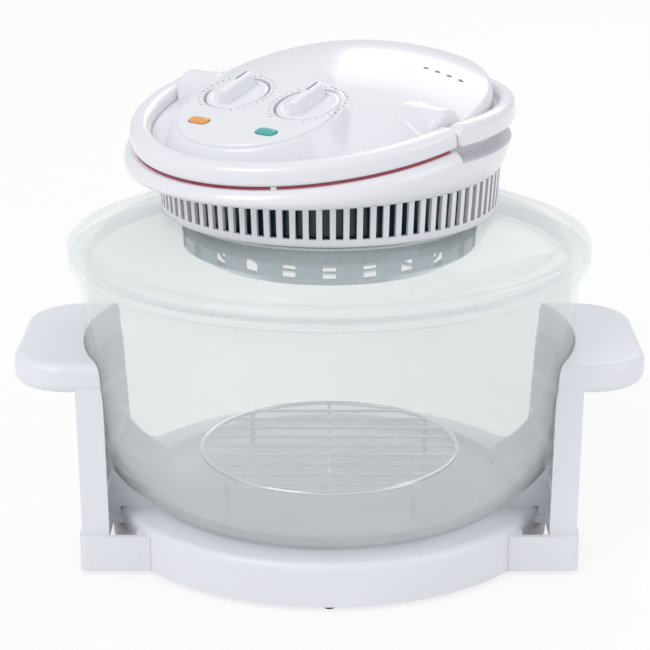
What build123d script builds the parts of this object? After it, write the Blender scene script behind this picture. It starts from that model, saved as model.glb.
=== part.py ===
from build123d import *
from math import radians, sin, sqrt, tan
import os

# Countertop halogen oven, millimetres, +Z up.
# The origin is on the bowl's axis at floor level, and -Y is the front of the stand.
# The heating head is turned about Z, and its rim and dome lean down towards the controls.

# ---- shared clearances -------------------------------------------------------------------
REST_GAP = 0.3          # between pieces of different bodies that rest on each other
FIT_GAP = 0.05          # radial, a pin or shaft in its bore
TRIM_GAP = 0.2          # around a piece let into its neighbour
SLIDE_GAP = 1.5         # around the bowl, where it lifts out between the posts

# ---- stand -------------------------------------------------------------------------------
FOOT_HEIGHT = 3.0
FOOT_R = 4.0
FOOT_STEM_R = 2.4
FOOT_STEM_LENGTH = 5.0
FOOT_INSET = 7.5        # from the base ring's outer edge to a foot's axis

BASE_R = 143.4
BASE_HEIGHT = 28.0
BASE_WALL = 3.0
BASE_EDGE_R = 5.0
SEAT_R = 121.0          # the ring's inner face, around the bowl's foot
SHELF_THICKNESS = 3.0
SHELF_LEDGE = 7.0       # how far the ledge under the shelf reaches in from the ring
BASE_RIBS = 16
RIB_THICKNESS = 2.5

BLOCK_HALF_WIDTH = 156.5    # outer face of the side blocks
BLOCK_HALF_DEPTH = 90.0
BLOCK_HEIGHT = 23.0
BLOCK_INNER_X = 112.0
BLOCK_CORNER_R = 5.0
POCKET_WIDTH = 17.0         # rectangular opening beside each post's inner foot
POCKET_LENGTH = 26.0
POCKET_WALL = 4.0

POST_TOP_X = 158.3
POST_FOOT_X = 155.0
POST_TOP_HALF_DEPTH = 68.5
POST_FOOT_HALF_DEPTH = 84.0
POST_CROWN = 4.5            # how far a post's outer face bows out at its middle
POST_DEPTH = 17.0
POST_SKIN = 3.0
POST_BOSS_R = 5.0
POST_BOSS_HEIGHT = 16.0
GUSSET_HEIGHT = 66.0
GUSSET_REACH = 24.0
GUSSET_Y = (-50.0, -20.0, 20.0, 50.0)
POST_RIB_Z = (52.0, 80.0)
POST_SCREW_Y = (-58.0, 58.0)
POST_SCREW_R = 2.0
SCREW_HEAD_R = 3.6
SCREW_HEAD_HEIGHT = 2.4

EAR_TOP = 131.7
EAR_THICKNESS = 19.0
EAR_REACH = 200.0
EAR_CORNER_R = 36.0
EAR_EDGE_R = 6.0

# ---- bowl and rack -----------------------------------------------------------------------
BOWL_BOTTOM = 24.0
BOWL_FLAT_R = 88.5
BOWL_CORNER_R = 66.0
BOWL_TOP_R = 161.0
BOWL_WALL = 4.5
BOWL_RIM = 190.0
FLANGE_R = 167.0
FLANGE_HEIGHT = 6.0
FLANGE_EDGE_R = 2.2

RACK_R = 84.0
RACK_HEIGHT = 24.0
RACK_WIRE_R = 1.6
RACK_CROSS_R = 1.1
RACK_BARS = 9
RACK_LEGS = 4

# ---- glass lid ---------------------------------------------------------------------------
LID_R = 167.5
BEAD_WIDTH = 10.5
BEAD_HEIGHT = 8.0
BEAD_EDGE_R = 3.5
LID_WALL = 4.0
LAND_Z = 218.4          # top of the flat land that carries the head
LAND_R = 109.0
LID_HOLE_R = 86.5
LID_CROWN = 3.0         # bow of the sloping glass over a straight line
SPIGOT_DEPTH = 5.0      # locating rib inside the bowl's mouth
SPIGOT_WIDTH = 3.5
SPIGOT_GAP = 1.5
SEAL_THICKNESS = 1.0
CLAMP_THICKNESS = 1.5
CLAMP_R = 95.0

# ---- head: placing -----------------------------------------------------------------------
HEAD_YAW = 37.5         # the controls point this far left of the stand's front
RIM_Z = 275.5           # the rim's lower edge over the axis
RIM_TILT = 8.8
HANDLE_DROP = 8.8       # the folded handle hangs this far below the rim's plane, and lies level
SLOT_Z = 247.6          # the vent band's top over the axis
SLOT_TILT = 1.0

# ---- head: vent housing ------------------------------------------------------------------
BAND_R = 106.6
BAND_TOP_R = 108.5
HOUSING_WALL = 2.5
HOUSING_FLOOR = 2.6
FLOOR_HOLE_R = 60.0
SLOTS = 84
SLOT_WIDTH = 4.5
SLOT_BOTTOM = 3.6       # from the band's lower edge to the slots
SLOT_MARGIN = 1.5       # from the slots to the band's top
SKIRT_A = 117.0
SKIRT_B = 126.0
SKIRT_Y = -12.0
SKIRT_UNDER = (251.5, 1.5)      # height over the axis and tilt of the skirt's lower bend
SKIRT_UNDER_IN = (2.5, 1.5)     # how much smaller the bend is than the widest oval
SKIRT_WIDEST = (257.0, 2.6)     # height over the axis and tilt of the widest oval
SKIRT_LAP = 1.0         # how far the skirt's lower edge overlaps the band
SKIRT_BRIM_IN = 4.0             # how much smaller the brim is than the widest oval
LEDGE_Z = 265.5         # the low ledge under the handle, behind the lip's end

# ---- head: rim, cover and handle ---------------------------------------------------------
RIM_A = 115.4
RIM_B = 126.2
RIM_Y = -7.2
RIM_WIDTH = 11.0
RIM_TOP = 15.0
RIM_ROUND = 4.8
RIM_UNDER_R = 3.0
LIP_LOW = 2.2           # the lip's underside over the rim's plane
LIP_END_Y = -25.0       # the fixed front lip stops here, in front of the pivot
SEAM_THICKNESS = 1.5
SEAM_INSET = 1.5
SEAM_BREAK_X = 50.0     # a short break in the seam, right of its middle
SEAM_BREAK = 4.0

COVER_A = 103.0
COVER_B = 115.0
COVER_Y = -7.0
COVER_WALL = 2.5
COVER_SHELF = 7.0       # the cover's flat shoulder over the rim's plane
COVER_FOOT_Z = 257.0    # the lower edge of the cover's wall over the axis, inside the housing
COVER_FOOT_TILT = 2.4
COVER_DEPTH = 75.0      # from the rim's plane to below the lowest screw post
DOME_R = 200.0          # of the shallow crown
DOME_Y = 10.0
DOME_TOP = 36.0         # the crown over the rim's plane
VENT_HOLES = 4
VENT_HOLE_R = 1.7
VENT_ROW_START = (54.4, 32.0)
VENT_ROW_STEP = (6.8, 2.4)

PIVOT_Y = -16.0
PIVOT_Z = 7.7
PIVOT_PIN_R = 3.0
EYE_R = 7.2
BOSS_R = 14.5
BOSS_INNER_X = 80.0
BOSS_EDGE_R = 5.0
HANDLE_B = 133.0        # the bail reaches further back than the lip's oval
HANDLE_SIDE_GAP = 0.9   # between the bail's eyes and the cover's bosses

SWITCH_X = 76.0
CAM_WIDTH = 5.0
CAM_HUB_R = 4.0
CAM_NUB_R = 1.5
CAM_REACH = 5.5
PLUNGER_GAP = 0.3

COVER_POST_R = 4.5
COVER_POST_RING_R = 92.0
COVER_SCREW_R = 1.8

# ---- head: controls ----------------------------------------------------------------------
PANEL_Y = -68.0
PANEL_Z = 26.5
PANEL_TILT = 7.0
PANEL_A = 52.0
PANEL_B = 47.0
PANEL_THICKNESS = 8.0
PANEL_EDGE_R = 2.0
PANEL_SEAT = 5.0
PANEL_PROUD = 1.5       # the panel over its collar
COLLAR_DEPTH = 24.0
KNOB_X = 27.5
KNOB_Y = 14.5           # from the panel's centre
KNOB_R = 19.5
KNOB_WELL_R = 21.2
KNOB_WELL_DEPTH = 3.5
KNOB_DISC_HEIGHT = 3.4
GRIP_LENGTH = 29.0
GRIP_WIDTH = 8.5
GRIP_HEIGHT = 9.0
STEM_R = 3.0
STEM_LENGTH = 16.0
LENS_X = 26.0
LENS_Y = -24.5
LENS_LENGTH = 15.0
LENS_WIDTH = 8.0
LENS_PROUD = 1.0
LENS_FLANGE = 1.2
LAMP_R = 3.0
LAMP_LENGTH = 14.0
TIMER_SIZE = 35.0
TIMER_DEPTH = 24.0
THERMOSTAT_R = 16.0
THERMOSTAT_DEPTH = 14.0
UNIT_NECK_R = 6.0

# ---- head: motor, fans and lamp ----------------------------------------------------------
SHAFT_R = 3.0
SHAFT_TOP = 268.0
SHAFT_BOTTOM = 199.5
MOTOR_R = 27.0
MOTOR_BOTTOM = 242.0
MOTOR_STACK = 14.0
MOTOR_BELL = 5.0
BEARING_R = 7.0
BRACKET_THICKNESS = 2.0
BRACKET_LEG_R = 74.0
BRACKET_LEG_WIDTH = 10.0
BRACKET_HUB_R = 12.0
COOLING_FAN_R = 52.0
COOLING_FAN_Z = 229.0
COOLING_BLADES = 8
CONVECTION_FAN_R = 50.0
CONVECTION_FAN_Z = 206.5
CONVECTION_BLADES = 6
BLADE_THICKNESS = 1.0
BLADE_HEIGHT = 7.0
HUB_R = 10.0
NECK_R = 84.8
DISH_R = 94.0
DISH_MOUTH_R = 82.8
DISH_TOP = 204.0
DISH_WAIST = 195.0
DISH_BOTTOM = 188.0
DISH_WALL = 0.9
DISH_SLOTS = 24
DISH_SLOT_LENGTH = 11.0
DISH_SLOT_HEIGHT = 3.6
SHIELD_THICKNESS = 1.5
DISH_SCREW_RING_R = 77.0
DISH_SCREW_R = 1.9
LAMP_RING_R = 60.0
LAMP_TUBE_R = 5.0
LAMP_Z = 197.5
LAMP_GAP_ANGLE = 26.0
HOLDER_SIZE = 15.0
GUARD_WIRE_R = 1.2
GUARD_RINGS = (18.0, 36.0, 54.0, 70.0)
GUARD_SPOKES = 8
GUARD_BAND = 6.0

# ---- head: wiring pieces -----------------------------------------------------------------
GLAND_BORE_R = 3.6
GLAND_R = 6.2
GLAND_LENGTH = 16.0
GLAND_Z = 255.0
GLAND_FLANGE_R = 7.6
GLAND_FLANGE = 2.0
GLAND_SEAT_Y = 112.9        # just outside the housing's back face at the gland's height
PLUNGER_R = 1.6
PLUNGER_LENGTH = 7.0
PLUNGER_SHOWS = 3.7
SWITCH_SIZE = (18.0, 7.0, 10.0)
TERMINAL_SIZE = (34.0, 16.0, 12.0)
CUTOUT_R = 8.0
CUTOUT_HEIGHT = 6.0

# ---- derived -----------------------------------------------------------------------------
BASE_BOTTOM = FOOT_HEIGHT
BASE_TOP = BASE_BOTTOM + BASE_HEIGHT
BLOCK_TOP = BASE_BOTTOM + BLOCK_HEIGHT
SHELF_TOP = BOWL_BOTTOM - REST_GAP
EAR_BOTTOM = EAR_TOP - EAR_THICKNESS
CORNER_Z = BOWL_BOTTOM + BOWL_CORNER_R
CORNER_X = BOWL_FLAT_R + BOWL_CORNER_R
FLANGE_Z = BOWL_RIM - FLANGE_HEIGHT
BEAD_BOTTOM = BOWL_RIM + REST_GAP
BEAD_TOP = BEAD_BOTTOM + BEAD_HEIGHT
GLASS_UNDER = LAND_Z - LID_WALL
HOUSING_BOTTOM = LAND_Z + SEAL_THICKNESS
FLOOR_TOP = HOUSING_BOTTOM + HOUSING_FLOOR

HEAD = Location((0, 0, 0), (0, 0, -HEAD_YAW))
RIM = HEAD * Pos(0, 0, RIM_Z) * Rot(RIM_TILT, 0, 0)
BAND = HEAD * Pos(0, 0, SLOT_Z) * Rot(SLOT_TILT, 0, 0)
COVER_FOOT = HEAD * Pos(0, 0, COVER_FOOT_Z) * Rot(COVER_FOOT_TILT, 0, 0)
HANDLE = RIM * Pos(0, PIVOT_Y, PIVOT_Z) * Rot(-HANDLE_DROP, 0, 0) * Pos(0, -PIVOT_Y, -PIVOT_Z)
PANEL = RIM * Pos(0, PANEL_Y, PANEL_Z) * Rot(PANEL_TILT, 0, 0)

LOW = (Align.CENTER, Align.CENTER, Align.MIN)
HIGH = (Align.CENTER, Align.CENTER, Align.MAX)


# ---- helpers -----------------------------------------------------------------------------
def save(name, shape):
    """Write one sub-part to its own file."""
    export_step(shape, "parts/" + name + ".step")


def tube(outer, inner, low, high):
    """A straight tube about Z."""
    height = high - low
    return Pos(0, 0, low) * (Cylinder(outer, height, align=LOW) - Cylinder(inner, height, align=LOW))


def disc(radius, low, high):
    """A round plate or rod about Z."""
    return Pos(0, 0, low) * Cylinder(radius, high - low, align=LOW)


def spun(*edges):
    """A solid of revolution about Z from a closed outline of (radius, height)."""
    return revolve(Plane.XZ * make_face(edges), Axis.Z)


def spun_outline(*points):
    """A solid of revolution from straight runs."""
    return spun(Polyline(*points, close=True))


def polar(count, radius, start=0.0):
    """Places spaced evenly on a circle, each with its X axis pointing outwards."""
    return [Rot(0, 0, start + 360.0 * i / count) * Pos(radius, 0, 0) for i in range(count)]


def oval_prism(place, a, b, y, low, high):
    """An upright prism on an ellipse, in the frame given by place."""
    return place * Pos(0, y, low) * extrude(Ellipse(a, b), high - low)


def half_space(place, low_y, high_y, size=400.0):
    """A large block between two Y planes of the frame given by place."""
    depth = high_y - low_y
    return place * Pos(0, low_y + depth / 2, 0) * Box(size, depth, size)


def joined(pieces):
    """Fuse a list of overlapping solids."""
    first = pieces[0]
    return first.fuse(*pieces[1:]) if len(pieces) > 1 else first


def bowl_radius(z):
    """Outer radius of the bowl at a height."""
    if z >= CORNER_Z:
        share = (z - CORNER_Z) / (FLANGE_Z - CORNER_Z)
        return CORNER_X + share * (BOWL_TOP_R - CORNER_X)
    drop = CORNER_Z - z
    return BOWL_FLAT_R + sqrt(max(BOWL_CORNER_R ** 2 - drop ** 2, 0.0))


# ---- stand -------------------------------------------------------------------------------
def foot_places():
    """The feet: front, right, back and left."""
    return polar(4, BASE_R - FOOT_INSET, start=-90.0)


def side_block():
    """One hollow side block, on +X, open underneath and with two pockets in its top."""
    width = BLOCK_HALF_WIDTH - BLOCK_INNER_X
    outer = Pos(BLOCK_INNER_X + width / 2, 0, BASE_BOTTOM) * Box(
        width, 2 * BLOCK_HALF_DEPTH, BLOCK_HEIGHT, align=LOW)
    rounded = outer.edges().filter_by(Axis.Z).sort_by(Axis.X)[-2:]
    outer = fillet(rounded, BLOCK_CORNER_R)
    inner = Pos(BLOCK_INNER_X + width / 2, 0, BASE_BOTTOM) * Box(
        width - 2 * BASE_WALL, 2 * (BLOCK_HALF_DEPTH - BASE_WALL), BLOCK_HEIGHT - BASE_WALL, align=LOW)
    block = outer - inner
    pocket_x = POST_FOOT_X - POST_DEPTH - POCKET_WIDTH / 2
    pocket_y = BLOCK_HALF_DEPTH - POCKET_WALL - POCKET_LENGTH / 2
    for y in (-pocket_y, pocket_y):
        block = block - Pos(pocket_x, y, BLOCK_TOP) * Box(POCKET_WIDTH, POCKET_LENGTH, 3 * BASE_WALL)
    return block


def stand_base():
    """Hollow ring round the bowl's foot, with a ledge, ribs and the two side blocks."""
    wall_in = BASE_R - BASE_WALL
    skin = BASE_TOP - BASE_WALL
    seat_back = SEAT_R + BASE_WALL
    ledge_r = SEAT_R - SHELF_LEDGE
    ledge_top = SHELF_TOP - SHELF_THICKNESS
    ledge_low = ledge_top - BASE_WALL
    shell = spun_outline(
        (ledge_r, ledge_low), (ledge_r, ledge_top), (SEAT_R, ledge_top), (SEAT_R, BASE_TOP),
        (BASE_R, BASE_TOP), (BASE_R, BASE_BOTTOM), (wall_in, BASE_BOTTOM), (wall_in, skin),
        (seat_back, skin), (seat_back, BASE_BOTTOM), (SEAT_R, BASE_BOTTOM), (SEAT_R, ledge_low))
    top_edge = shell.edges().filter_by(GeomType.CIRCLE).filter_by(
        lambda e: abs(e.radius - BASE_R) < 1e-3 and e.center().Z > BASE_TOP - 1)
    shell = fillet(top_edge, BASE_EDGE_R)
    void = disc(BASE_R - BASE_WALL / 2, BASE_BOTTOM, BASE_TOP)
    blocks = []
    for side in (0, 180):
        blocks.append(Rot(0, 0, side) * (side_block() - void))
    rib_length = wall_in - SEAT_R
    rib_height = skin - BASE_BOTTOM + BASE_WALL / 2
    holes = []
    for side in (0, 180):
        for place in post_screw_places():
            holes.append(Rot(0, 0, side) * place * disc(POST_SCREW_R, BASE_BOTTOM, BASE_TOP))
    ribs = []
    for place in polar(BASE_RIBS, SEAT_R + BASE_WALL / 2 + rib_length / 2):
        ribs.append(place * Pos(0, 0, BASE_BOTTOM) * Box(rib_length, RIB_THICKNESS, rib_height, align=LOW))
    base = joined([shell] + blocks + ribs)
    for place in foot_places():
        boss = place * disc(FOOT_STEM_R + 2.0, BASE_BOTTOM, BASE_BOTTOM + FOOT_STEM_LENGTH + 2.0)
        base = base + boss
        base = base - place * disc(FOOT_STEM_R + FIT_GAP, BASE_BOTTOM, BASE_BOTTOM + FOOT_STEM_LENGTH)
    return base - holes


def bowl_shelf():
    """Flat plate let into the ring, which carries the bowl."""
    return disc(SEAT_R - TRIM_GAP, SHELF_TOP - SHELF_THICKNESS, SHELF_TOP)


def stand_feet():
    """Four small rubber feet, each with a stem pressed into the ring."""
    foot = spun_outline(
        (0, 0), (FOOT_R - 0.6, 0), (FOOT_R, 0.6), (FOOT_R, FOOT_HEIGHT),
        (FOOT_STEM_R, FOOT_HEIGHT), (FOOT_STEM_R, FOOT_HEIGHT + FOOT_STEM_LENGTH - 0.2),
        (0, FOOT_HEIGHT + FOOT_STEM_LENGTH - 0.2))
    return Compound([place * foot for place in foot_places()])


def bowl_clearance():
    """The space the bowl needs to lift out, wider than the bowl by the sliding gap."""
    points = [(0.0, BASE_TOP), (bowl_radius(BASE_TOP) + SLIDE_GAP, BASE_TOP)]
    steps = 8
    for i in range(1, steps + 1):
        z = BASE_TOP + (CORNER_Z - BASE_TOP) * i / steps
        points.append((bowl_radius(z) + SLIDE_GAP, z))
    points.append((bowl_radius(BOWL_RIM) + SLIDE_GAP, BOWL_RIM))
    points.append((0.0, BOWL_RIM))
    return spun_outline(*points)


def post_section(x, half_depth, inset, z):
    """Plan of a post: a bowed outer face and two straight sides, open to the bowl."""
    outer = x - inset
    inner = x - POST_DEPTH - (1.0 if inset else 0.0)
    side = half_depth - inset
    outline = [
        Line((inner, -side), (outer, -side)),
        ThreePointArc((outer, -side), (outer + POST_CROWN, 0), (outer, side)),
        Line((outer, side), (inner, side)),
        Line((inner, side), (inner, -side))]
    return Pos(0, 0, z) * make_face(outline)


def post_share(z):
    """How far up the post a height lies, from its foot to the ear."""
    return (z - BLOCK_TOP) / (EAR_BOTTOM - BLOCK_TOP)


def post_form(inset, low, high):
    """The post between two heights, or its hollow when inset is the skin."""
    sections = []
    for z in (low, high):
        share = post_share(z)
        x = POST_FOOT_X + share * (POST_TOP_X - POST_FOOT_X)
        half_depth = POST_FOOT_HALF_DEPTH + share * (POST_TOP_HALF_DEPTH - POST_FOOT_HALF_DEPTH)
        sections.append(post_section(x, half_depth, inset, z))
    return loft(sections, ruled=True)


def ear():
    """Handle ear: a thick D-shaped paddle with rounded edges."""
    half = POST_TOP_HALF_DEPTH
    root = POST_TOP_X - POST_DEPTH
    turn = EAR_REACH - EAR_CORNER_R
    outline = [
        Line((root, -half), (turn, -half)),
        RadiusArc((turn, -half), (EAR_REACH, EAR_CORNER_R - half), -EAR_CORNER_R),
        Line((EAR_REACH, EAR_CORNER_R - half), (EAR_REACH, half - EAR_CORNER_R)),
        RadiusArc((EAR_REACH, half - EAR_CORNER_R), (turn, half), -EAR_CORNER_R),
        Line((turn, half), (root, half)),
        Line((root, half), (root, -half))]
    paddle = Pos(0, 0, EAR_BOTTOM) * extrude(make_face(outline), EAR_THICKNESS)
    rims = paddle.edges().filter_by(lambda e: abs(e.center().Z - EAR_TOP) < 0.01
                                    or abs(e.center().Z - EAR_BOTTOM) < 0.01)
    rims = rims.filter_by(lambda e: e.center().X > root + 1)
    return fillet(rims, EAR_EDGE_R)


def post_screw_places():
    """Where screws come up through a side block into a post, on +X."""
    x = POST_FOOT_X - POST_DEPTH / 2
    return [Pos(x, y, 0) for y in POST_SCREW_Y]


def side_post():
    """Post with its ear, on +X: an outer skin with ribs, open towards the bowl."""
    body = post_form(0.0, BLOCK_TOP, EAR_BOTTOM + EAR_EDGE_R + 2)
    levels = [BLOCK_TOP] + list(POST_RIB_Z) + [EAR_BOTTOM]
    for low, high in zip(levels[:-1], levels[1:]):
        body = body - post_form(POST_SKIN, low + POST_SKIN, high - POST_SKIN / 2)
    for place in post_screw_places():
        body = body + place * disc(POST_BOSS_R, BLOCK_TOP, BLOCK_TOP + POST_BOSS_HEIGHT)
    gusset_root = POST_FOOT_X - POST_SKIN
    outline = Polyline((gusset_root, BLOCK_TOP), (gusset_root - POST_DEPTH - GUSSET_REACH, BLOCK_TOP),
                       (gusset_root - POST_DEPTH, BLOCK_TOP + GUSSET_HEIGHT),
                       (gusset_root, BLOCK_TOP + GUSSET_HEIGHT), close=True)
    plate = extrude(Plane.XZ * make_face(outline), RIB_THICKNESS / 2, both=True)
    for y in GUSSET_Y:
        body = body + Pos(0, y, 0) * plate
    body = body + ear()
    body = body - bowl_clearance() - disc(BASE_R, BASE_BOTTOM, BASE_TOP)
    for place in post_screw_places():
        body = body - place * disc(POST_SCREW_R, BLOCK_TOP, BLOCK_TOP + POST_BOSS_HEIGHT - 2)
    return body


def cross_screw(shank_r, length, head_r, head_height):
    """A pan-head screw standing on its head: the head below z = 0, the shank above."""
    head = Pos(0, 0, -head_height) * Cylinder(head_r, head_height, align=LOW)
    drive = Pos(0, 0, -head_height) * Box(head_r * 1.2, head_r * 0.3, head_height, align=LOW)
    shank = Cylinder(shank_r, length, align=LOW)
    return (head - drive) + shank


def stand_screws():
    """Screws that hold both posts, from under the side blocks."""
    length = BASE_WALL + POST_BOSS_HEIGHT - 4
    screw = cross_screw(POST_SCREW_R - FIT_GAP, length, SCREW_HEAD_R, SCREW_HEAD_HEIGHT)
    places = []
    for side in (0, 180):
        for place in post_screw_places():
            places.append(Rot(0, 0, side) * place * Pos(0, 0, BLOCK_TOP - BASE_WALL))
    return Compound([place * screw for place in places])


# ---- bowl and rack -----------------------------------------------------------------------
def glass_bowl():
    """Round bowl: flat bottom, large corner radius, slightly flared wall and a rim flange."""
    inner_corner = BOWL_CORNER_R - BOWL_WALL
    floor = BOWL_BOTTOM + BOWL_WALL
    mouth = BOWL_TOP_R - BOWL_WALL
    outline = [
        Line((0, BOWL_BOTTOM), (BOWL_FLAT_R, BOWL_BOTTOM)),
        CenterArc((BOWL_FLAT_R, CORNER_Z), BOWL_CORNER_R, -90, 90),
        Line((CORNER_X, CORNER_Z), (BOWL_TOP_R, FLANGE_Z)),
        Line((BOWL_TOP_R, FLANGE_Z), (FLANGE_R, FLANGE_Z)),
        Line((FLANGE_R, FLANGE_Z), (FLANGE_R, BOWL_RIM)),
        Line((FLANGE_R, BOWL_RIM), (mouth, BOWL_RIM)),
        Line((mouth, BOWL_RIM), (mouth, FLANGE_Z)),
        Line((mouth, FLANGE_Z), (CORNER_X - BOWL_WALL, CORNER_Z)),
        CenterArc((BOWL_FLAT_R, CORNER_Z), inner_corner, 0, -90),
        Line((BOWL_FLAT_R, floor), (0, floor)),
        Line((0, floor), (0, BOWL_BOTTOM))]
    bowl = spun(*outline)
    rim_edges = bowl.edges().filter_by(GeomType.CIRCLE).filter_by(
        lambda e: abs(e.radius - FLANGE_R) < 1e-3)
    return fillet(rim_edges, FLANGE_EDGE_R)


def low_rack():
    """Round wire rack on four legs, standing in the bowl."""
    stand_z = BOWL_BOTTOM + BOWL_WALL + REST_GAP
    top = stand_z + RACK_HEIGHT
    hoop = Pos(0, 0, top) * Rot(0, 0, 7) * Torus(RACK_R, RACK_WIRE_R)
    parts = [hoop]
    pitch = 2 * RACK_R / (RACK_BARS + 1)
    for i in range(RACK_BARS):
        y = -RACK_R + pitch * (i + 1)
        length = 2 * sqrt(RACK_R ** 2 - y ** 2)
        parts.append(Pos(0, y, top) * Rot(0, 90, 0) * Cylinder(RACK_CROSS_R, length))
    beam_z = top - 2 * RACK_CROSS_R
    parts.append(Pos(0, 0, beam_z) * Rot(90, 0, 0) * Cylinder(RACK_WIRE_R, 2 * RACK_R))
    for place in polar(RACK_LEGS, RACK_R, start=39.0):
        parts.append(place * disc(RACK_WIRE_R, stand_z, top))
    return joined(parts)


# ---- glass lid ---------------------------------------------------------------------------
def glass_lid():
    """Shallow glass dome with a beaded rim, a locating rib and a flat land round the hole."""
    edge_r = LID_R - BEAD_WIDTH + 1.0
    edge_z = BEAD_TOP - 1.0
    middle = ((LAND_R + edge_r) / 2 + LID_CROWN * 0.4, (LAND_Z + edge_z) / 2 + LID_CROWN)
    under = (middle[0], middle[1] - LID_WALL)
    dome = spun(
        Line((LID_HOLE_R, LAND_Z), (LAND_R, LAND_Z)),
        ThreePointArc((LAND_R, LAND_Z), middle, (edge_r, edge_z)),
        Line((edge_r, edge_z), (edge_r, edge_z - LID_WALL)),
        ThreePointArc((edge_r, edge_z - LID_WALL), under, (LAND_R, GLASS_UNDER)),
        Line((LAND_R, GLASS_UNDER), (LID_HOLE_R, GLASS_UNDER)),
        Line((LID_HOLE_R, GLASS_UNDER), (LID_HOLE_R, LAND_Z)))
    bead_centre = (LID_R - BEAD_WIDTH / 2, BEAD_BOTTOM + BEAD_HEIGHT / 2)
    bead_face = Plane.XZ * Pos(*bead_centre) * RectangleRounded(BEAD_WIDTH, BEAD_HEIGHT, BEAD_EDGE_R)
    bead = revolve(bead_face, Axis.Z)
    rib_outer = BOWL_TOP_R - BOWL_WALL - SPIGOT_GAP
    rib = tube(rib_outer, rib_outer - SPIGOT_WIDTH, BOWL_RIM - SPIGOT_DEPTH, edge_z)
    return dome + bead + rib


def glass_seal():
    """Flat silicone ring between the glass and the head."""
    return tube(BAND_R, LID_HOLE_R + TRIM_GAP, LAND_Z, HOUSING_BOTTOM)


def clamp_ring():
    """Steel ring that clamps the glass from below, on the lamp dish's neck."""
    return tube(CLAMP_R, NECK_R + FIT_GAP, GLASS_UNDER - CLAMP_THICKNESS, GLASS_UNDER)


# ---- head: housing and cover -------------------------------------------------------------
def band_form(inset):
    """The vent band's cone, or its inside when inset is the wall."""
    floor = HOUSING_FLOOR if inset else 0.0
    bottom = HEAD * Pos(0, 0, HOUSING_BOTTOM + floor) * Circle(BAND_R - inset)
    return loft([bottom, BAND * Circle(BAND_TOP_R - inset)], ruled=True)


def skirt_level(level, smaller, inset):
    """One oval section of the skirt, in its own leaning plane."""
    place = HEAD * Pos(0, 0, level[0]) * Rot(level[1], 0, 0) * Pos(0, SKIRT_Y, 0)
    return place * Ellipse(SKIRT_A - smaller[0] - inset, SKIRT_B - smaller[1] - inset)


def handle_recess(inset):
    """The space over the low ledge behind the lip's end, larger by the wall for the skirt's inside."""
    behind = half_space(RIM, LIP_END_Y - inset, 200)
    above = HEAD * Pos(0, 0, LEDGE_Z - inset) * Box(400, 400, 100, align=LOW)
    return behind & above


def skirt_form(inset):
    """The flared skirt over the band, or its inside when inset is the wall.

    It is lofted from the band's circle to the longer oval under the lip, and cut down under the handle.
    """
    waist_z = inset if inset else -SKIRT_LAP
    waist = BAND * Pos(0, 0, waist_z) * Circle(BAND_TOP_R - SKIRT_LAP / 2 - inset)
    under = Pos(0, 0, inset) * skirt_level(SKIRT_UNDER, SKIRT_UNDER_IN, inset)
    widest = Pos(0, 0, 0.2 * inset) * skirt_level(SKIRT_WIDEST, (0, 0), inset)
    brim_in = SKIRT_BRIM_IN + inset
    brim_z = LIP_LOW - SEAM_THICKNESS - inset
    brim = RIM * Pos(0, SKIRT_Y, brim_z) * Ellipse(SKIRT_A - brim_in, SKIRT_B - brim_in)
    return loft([waist, under, widest, brim]) - handle_recess(inset)


def vent_slots():
    """Cutters for the upright slots, whose tops follow the skirt's lower edge."""
    low = HOUSING_BOTTOM + SLOT_BOTTOM
    cutters = []
    for i in range(SLOTS):
        angle = 360.0 * (i + 0.5) / SLOTS
        y = BAND_R * sin(radians(angle))
        high = SLOT_Z + y * tan(radians(SLOT_TILT)) - SLOT_MARGIN
        slot = Box(4 * HOUSING_WALL, SLOT_WIDTH, high - low, align=LOW)
        cutters.append(HEAD * Rot(0, 0, angle) * Pos(BAND_R - HOUSING_WALL / 2, 0, low) * slot)
    return cutters


def dish_screw_places():
    """Screws through the dish's flange into the housing floor."""
    return [HEAD * place for place in polar(4, DISH_SCREW_RING_R, start=22.5)]


def cover_post_places():
    """Posts that hang from the cover to the housing floor."""
    return [HEAD * Rot(0, 0, angle) * Pos(COVER_POST_RING_R, 0, 0) for angle in (40, 140, 220, 320)]


def cover_prism(grow, low, high):
    """Prism on the cover's outline, in the rim frame."""
    return oval_prism(RIM, COVER_A + grow, COVER_B + grow, COVER_Y, low, high)


def below_cover():
    """Everything under the lower edge of the cover's wall."""
    return COVER_FOOT * Box(400, 400, 2 * COVER_DEPTH, align=HIGH)


def gland_place():
    """Frame of the cord gland: Z points out of the head's back."""
    return HEAD * Pos(0, 0, GLAND_Z) * Rot(-90, 0, 0)


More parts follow.
